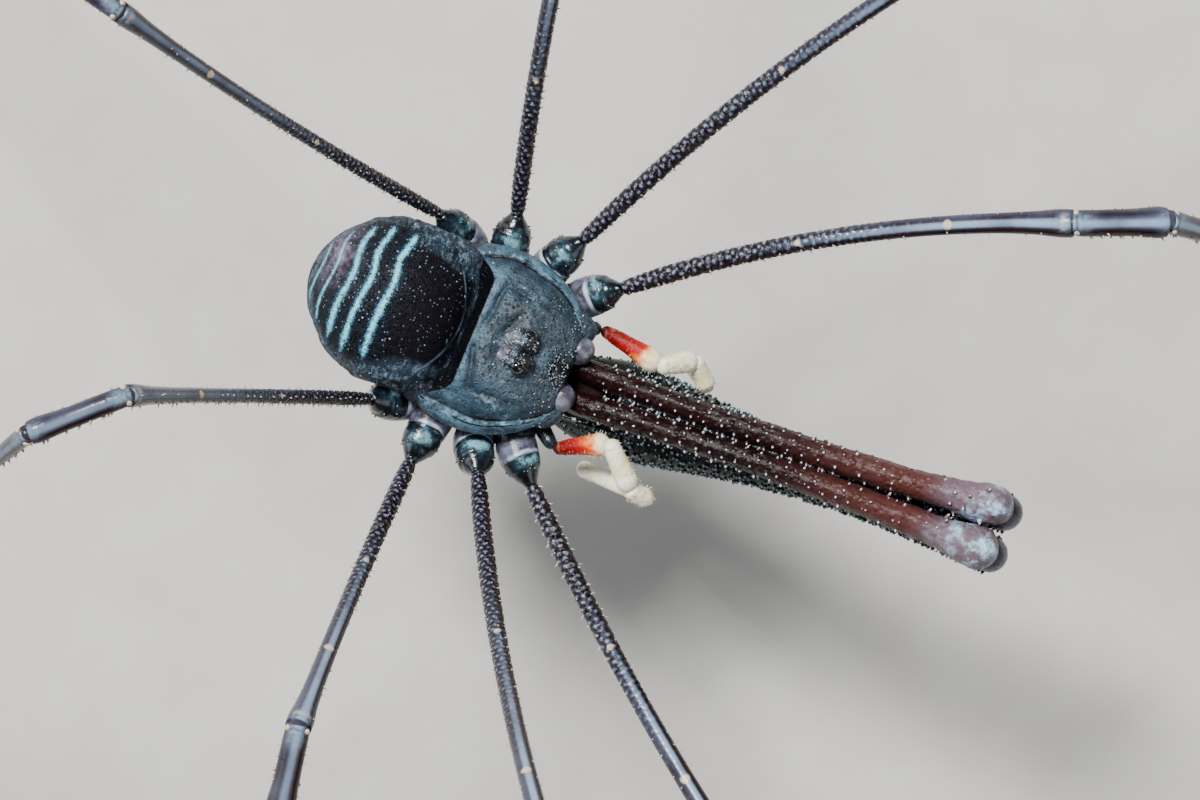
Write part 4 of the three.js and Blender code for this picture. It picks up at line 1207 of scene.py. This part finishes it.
def leg_lines(pose, size):
    """The middle lines of one leg, in order from the body. The tarsus comes down to the floor."""
    root = np.array([*pose.root, COXA["height"]])
    trochanter = stretch(root, pose.trochanter, TROCHANTER_LENGTH)
    femur = stretch(trochanter[-1], pose.femur, size.femur, pose.bend)
    patella = stretch(femur[-1], pose.patella, size.patella)
    tibia = stretch(patella[-1], pose.tibia, size.tibia)
    down = heading(*pose.metatarsus)
    flat = heading(pose.metatarsus[0] + pose.turn, 0)
    ankle = tibia[-1] + down * size.metatarsus
    reach = (ankle[2] + BODY[2] - TARSUS_REST[0]) / -down[2]
    corner = ankle + down * reach
    landing = corner + flat * reach
    curve = bezier([ankle, corner, landing])
    rest = size.tarsus - CLAW["length"] - Line(curve).length
    end = landing + flat * rest + UP * (TARSUS_REST[1] - TARSUS_REST[0])
    tarsus = np.concatenate([curve, bezier([landing, end], 60)])
    lines = {"trochanter": trochanter, "femur": femur, "patella": patella, "tibia": tibia}
    lines = {name: Line(bezier(stops)) for name, stops in lines.items()}
    return {**lines, "metatarsus": Line(bezier([tibia[-1], ankle])), "tarsus": Line(tarsus)}


def coxa(order, sign, pose):
    """A coxa from the underside to the leg's root, ending in a membrane with a painted highlight by its edge.
    """
    place = np.array([*pose.root, COXA["height"]])
    way = heading(*pose.trochanter)
    x, y = COXA["inner"][order]
    start = np.array([x, sign * y, COXA["height"] - COXA["inner_drop"]])
    stops = [start, start + (place - start) * 0.4, place - way * 0.5, place + way * COXA["past_root"][order]]
    line = Line(bezier(stops))
    end = line.length - 0.03

    def membrane(along, angle):
        return ease(end - COXA["membrane"], end - COXA["membrane"] + 0.06, along)

    # Where the painted highlight band lies, brightest to one side.
    def edge(along, angle):
        wavy = end - COXA["edge"] - 0.02 * np.sin(3 * angle)
        return bump_at(along, wavy, 0.05) * (0.5 + 0.5 * np.cos(angle - 0.4))

    def swell(along, angle):
        return 0.012 * uneven(along, angle, 1.2, 71) - 0.04 * bump_at(along, end - COXA["membrane"], 0.04)

    marks = {"membrane": membrane, "edge": edge}
    return limb(line, COXA["radius"], spacing=0.03, sides=48, blunt=(0.3, 0.05), swell=swell, marks=marks)


def trochanter(line, order):
    """A glossy barrel with a shoulder, lilac patches at the femur's socket and a few spines."""
    # Where the painted highlight lies: on top, turned a little for each leg, strongest mid-barrel.
    def bloom(along, angle):
        return ease(0.0, 1.0, np.cos(angle - 0.5 + 0.3 * order)) * bump_at(along, 0.4 * line.length, 0.3)

    def socket(along, angle):
        reach = 0.68 * line.length + 0.1 * np.abs(angle - np.pi)
        return ease(reach, reach + 0.06, along)

    def swell(along, angle):
        rim, neck = bump_at(along, 0.56 * line.length, 0.03), bump_at(along, 0.66 * line.length, 0.04)
        waist = bump_at(along, 0.16, 0.03)
        return 0.03 * rim - 0.05 * neck - 0.05 * waist + 0.016 * uneven(along, angle, 1.1, 81 + order)

    marks = {"bloom": bloom, "socket": socket}
    blunt = (0.06, 0.05)
    barrel = limb(line, LEG["trochanter"], spacing=0.018, sides=56, blunt=blunt, swell=swell, marks=marks)
    count, width, height = TROCHANTER_SPINES.values()
    along = chance.uniform(0.35, 0.68, count) * line.length
    angle = chance.uniform(0, 2 * np.pi, count)
    return [barrel, stand_on_limb(SPINE, line, LEG["trochanter"], along, angle, width, height, lean=0.4)]


def sides_of(sign, sheen, reach):
    """Marks round a leg of one side. Upper is its pale top, real colour partly painted light, which leans
    rearwards towards the lit side; streak is a painted highlight along the middle of the top, and outer
    says where the leg is smooth."""
    lean = LIT_SIDE_LEAN * sign
    return {
        "upper": lambda along, angle: ease(0.15, 0.6, np.cos(angle - lean)),
        "streak": lambda along, angle: sheen * ease(0.9, 1.0, np.cos(angle + 0.2 * lean)),
        "outer": lambda along, angle: reach(along),
    }


def femur(line, size, sign):
    """A shaft of close rings of tubercles, with two pale spots on top and short pale spines.

    Along a ring the tubercles rise as the root of a sine. The rings waver round the shaft, each has
    seven tubercles, and every other ring is turned by half a tubercle.
    """
    radii = scaled(LEG["femur"], size.stout)

    def phase(along, angle):
        """Rings from the root: the distance over a ring's length, wavering round the shaft."""
        return along / BEAD + 0.16 * np.sin(2 * angle + 1.7 * along) + 0.12 * np.sin(5 * angle - 2.9 * along)

    def bead(along, angle):
        """Height of the tubercles, from 0 between the rings to 1 on their tops."""
        turn = 7 * angle + np.pi * np.floor(phase(along, angle))
        return np.sqrt(np.abs(np.sin(np.pi * phase(along, angle)))) * (0.82 + 0.18 * np.cos(turn))

    def beaded(along):
        return 0.04 + 0.96 * ease(0.74, 0.3, along / line.length)

    # Painted shade between the rings of tubercles.
    def groove(along, angle):
        return ease(0.55, 0.15, bead(along, angle)) * ease(0.05, 0.3, along) * beaded(along)

    def ring(along, angle):
        """Pale places: round spots by their distance from a middle, and a bell at the knee."""
        aside = 0.34 * np.sin(0.5 * angle)
        ends = 0.6 * bump_at(along, line.length - 0.18, 0.1) * ease(0.5, 0.95, np.cos(angle))
        places = [(np.hypot(along - line.length * share, aside), width) for share, width in SPOTS_ON_FEMUR]
        return ends + sum(ease(1.4 * width, 0.4 * width, far) for far, width in places)

    # Painted glints on the tubercles' tops, on the lit side, stronger where the sheen is.
    def crest(along, angle):
        lit = ease(0.3, 0.9, np.cos(angle - 0.4 * sign)) * (0.45 + 0.55 * size.sheen)
        return ease(0.74, 0.98, bead(along, angle)) * lit * beaded(along)

    def joint(along, angle):
        return ease(line.length - 0.4, line.length - 0.1, along) * ease(0.5, 1.0, np.cos(angle))

    def swell(along, angle):
        return 0.19 * (bead(along, angle) - 0.76) * beaded(along)

    marks = {"groove": groove, "crest": crest, "ring": ring, "joint": joint}
    marks.update(sides_of(sign, size.sheen, lambda along: ease(0.25, 0.8, along / line.length)))
    shaft = limb(line, radii, spacing=0.02, sides=36, blunt=(0.02, 0.06), swell=swell, marks=marks)
    every, turns, width, (lowest, highest) = FEMUR_SPINES.values()
    along, angle = pairings(np.arange(int(line.length / every)) * every + 0.12, np.radians(turns))
    kept = chance.uniform(0, 1, along.size) < 1.1 - 0.9 * along / line.length
    along, angle = along[kept], angle[kept]
    along = np.clip(along + chance.uniform(-0.09, 0.09, along.size), 0.06, line.length - 0.12)
    angle = angle + chance.uniform(-0.16, 0.16, angle.size)
    height = chance.uniform(lowest, highest, along.size) * (1 + 0.6 * ease(0.5, -0.1, np.cos(angle)))
    return [shaft, stand_on_limb(SPINE, line, radii, along, angle, width, height, lean=0.5)]


def scaled(radii, share):
    """A profile of radii, all of them larger or smaller by the same share."""
    return [[place, radius * share] for place, radius in radii]


def condyles(line, radius):
    """Two pale knobs, one on each side of the joint at a stretch's root."""
    place, _, side, top = (value[0] for value in line.at([0.0]))
    ways = [unit(sign * side + 0.7 * top) for sign in (1, -1)]
    return [marked(ball(place + way * radius, [CONDYLE] * 3, rings=10, sides=12), ring=1.0) for way in ways]


def outer_stretch(bare, radii, size, sign, crowd):
    """A smooth stretch from its hinge ball and condyles on, with two rows of spines below."""
    root = bare.points[0] - bare.ways[0] * OVERLAP
    line = Line(np.concatenate([[root], bare.points]))

    def joint(along, angle):
        ends = ease(line.length - 0.4, line.length - 0.1, along) + ease(0.55, 0.25, along)
        return ends * ease(0.5, 1.0, np.cos(angle))

    def swell(along, angle):
        return 0.015 * uneven(along, angle, 1.2, 91, 0.2) - 0.05 * bump_at(along, OVERLAP, 0.03)

    def groove(along, angle):
        return bump_at(along, OVERLAP, 0.025)

    marks = {"joint": joint, "groove": groove, **sides_of(sign, size.sheen, np.ones_like)}
    tube = limb(line, radii, spacing=0.05, sides=24, blunt=(0.06, 0.08), swell=swell, marks=marks)
    hinge = ball(bare.points[0], [radii[0][1] * HINGE] * 3, rings=16, sides=24)
    hinge = marked(hinge, upper=1.0, outer=1.0)
    every, side, width, (lowest, highest) = OUTER_SPINES.values()
    count = int(crowd * line.length / every)
    along = chance.uniform(0.3, line.length - 0.1, count)
    angle = chance.choice([-side, side], count) + chance.normal(0, 0.3, count)
    height = chance.uniform(lowest, highest, count)
    spines = stand_on_limb(SPINE, line, radii, along, angle, width, height, lean=0.5)
    return [tube, hinge, *condyles(bare, radii[1][1] * 0.92), spines]


def lower_leg(lines, size, sign):
    """Patella, tibia, metatarsus and the many-jointed tarsus, with a claw at the tip."""
    shapes = []
    for name, crowd in (("patella", 2), ("tibia", 1), ("metatarsus", 1)):
        shapes += outer_stretch(lines[name], scaled(LEG[name], size.stout), size, sign, crowd)
    tarsus = lines["tarsus"]

    def joint(along, angle):
        return bump_at((along / TARSUS_SEGMENT) % 1, 0.5, 0.12)

    def narrow(along, angle):
        return -0.2 * joint(along, angle)

    marks = {"groove": joint, **sides_of(sign, size.sheen, np.ones_like)}
    foot = limb(tarsus, LEG["tarsus"], spacing=0.05, sides=16, swell=narrow, marks=marks)
    return [*shapes, foot, claw(tarsus)]


def claw(tarsus):
    """A small hooked claw that arches up from the tarsus and comes down on the floor."""
    place, along, _, top = (value[0] for value in tarsus.at([tarsus.length - 0.03]))
    drop = np.array([0, 0, CLAW["tip"] - BODY[2] - place[2]])
    tip = place + along * CLAW["length"] + drop
    line = Line(bezier([place, place + along * 0.6 * CLAW["length"] + top * CLAW["rise"], tip], 30))
    return limb(line, CLAW["radius"], spacing=0.02, sides=8, caps=3)


def legs():
    """Each leg as its root, thigh and shank, and the coxae of all eight as one piece."""
    bulb, shell, skin = trochanter_finish(), leg_finish(), coxa_finish()
    coxae = []
    for side, sign in SIDES.items():
        for order, (pose, size) in enumerate(zip(STANCE[side], SIZES)):
            name = f"leg_{order + 1}_{side}"
            lines = leg_lines(pose, size)
            coxae.append(coxa(order, sign, pose))
            barrel = trochanter(lines["trochanter"], order)
            piece(f"{name}_root", barrel, bulb, "trochanter", f"{name}_trochanter")
            piece(f"{name}_thigh", femur(lines["femur"], size, sign), shell, "leg", f"{name}_femur")
            below = [f"{name}_{part}" for part in ("patella", "tibia", "foot")]
            piece(f"{name}_shank", lower_leg(lines, size, sign), shell, "leg", *below)
    piece("coxae", coxae, skin, "carapace")


# The stage: camera, floor and soft lights.


def view_axes():
    """Right, up and back of the view: the page turned, and the camera tipped off straight down."""
    tilt, turn = np.radians([VIEW["tilt"], VIEW["turn"]])
    back = np.array([0, -np.sin(tilt), np.cos(tilt)])
    y_axis = np.array([0, np.cos(tilt), np.sin(tilt)])
    x_axis = np.array([1.0, 0, 0])
    right = x_axis * np.cos(turn) + y_axis * np.sin(turn)
    return right, y_axis * np.cos(turn) - x_axis * np.sin(turn), back


def pose_towards(thing, place, right, up, back):
    """Stands a thing at a place in millimetres, turned so that its own axes are these three."""
    axes = Matrix([Vector(axis) for axis in (right, up, back)]).transposed()
    thing.matrix_world = Matrix.Translation(Vector((place + BODY) * MM)) @ axes.to_4x4()


def camera():
    """The camera, at the view's distance back from its middle."""
    right, up, back = view_axes()
    lens = bpy.data.cameras.new("view")
    lens.lens = VIEW["lens"]
    lens.clip_start = 0.005
    lens.clip_end = 20
    eye = bpy.data.objects.new("view", lens)
    bpy.context.collection.objects.link(eye)
    pose_towards(eye, np.array(VIEW["middle"]) + VIEW["distance"] * back, right, up, back)
    bpy.context.scene.camera = eye


def soft_light(name, offset, size, power, colour):
    """A square soft light, in millimetres right, up and back from the middle of the view."""
    place = np.array(VIEW["middle"]) + np.array(offset) @ np.array(view_axes())
    back = unit(place - np.array(VIEW["middle"]))
    right = unit(np.cross([0.3, 1.0, 0.2], back))
    lamp = bpy.data.lights.new(name, "AREA")
    lamp.size = size * MM
    lamp.energy = power
    lamp.color = colour
    light = bpy.data.objects.new(name, lamp)
    bpy.context.collection.objects.link(light)
    pose_towards(light, place, right, np.cross(back, right), back)


def stage():
    """The camera, the soft lights, a square floor and the even light of the sky."""
    camera()
    for name, settings in LIGHTS.items():
        soft_light(name, *settings)
    mesh = bpy.data.meshes.new("board")
    corners = [(-BOARD, -BOARD, 0), (BOARD, -BOARD, 0), (BOARD, BOARD, 0), (-BOARD, BOARD, 0)]
    mesh.from_pydata(corners, [], [(0, 1, 2, 3)])
    mesh.materials.append(floor_finish())
    board = bpy.data.objects.new("board", mesh)
    bpy.context.collection.objects.link(board)
    world = bpy.data.worlds.new("studio")
    world.use_nodes = True
    for socket, value in SKY.items():
        world.node_tree.nodes["Background"].inputs[socket].default_value = value
    bpy.context.scene.world = world


stage()
body()
jaws()
palps()
legs()
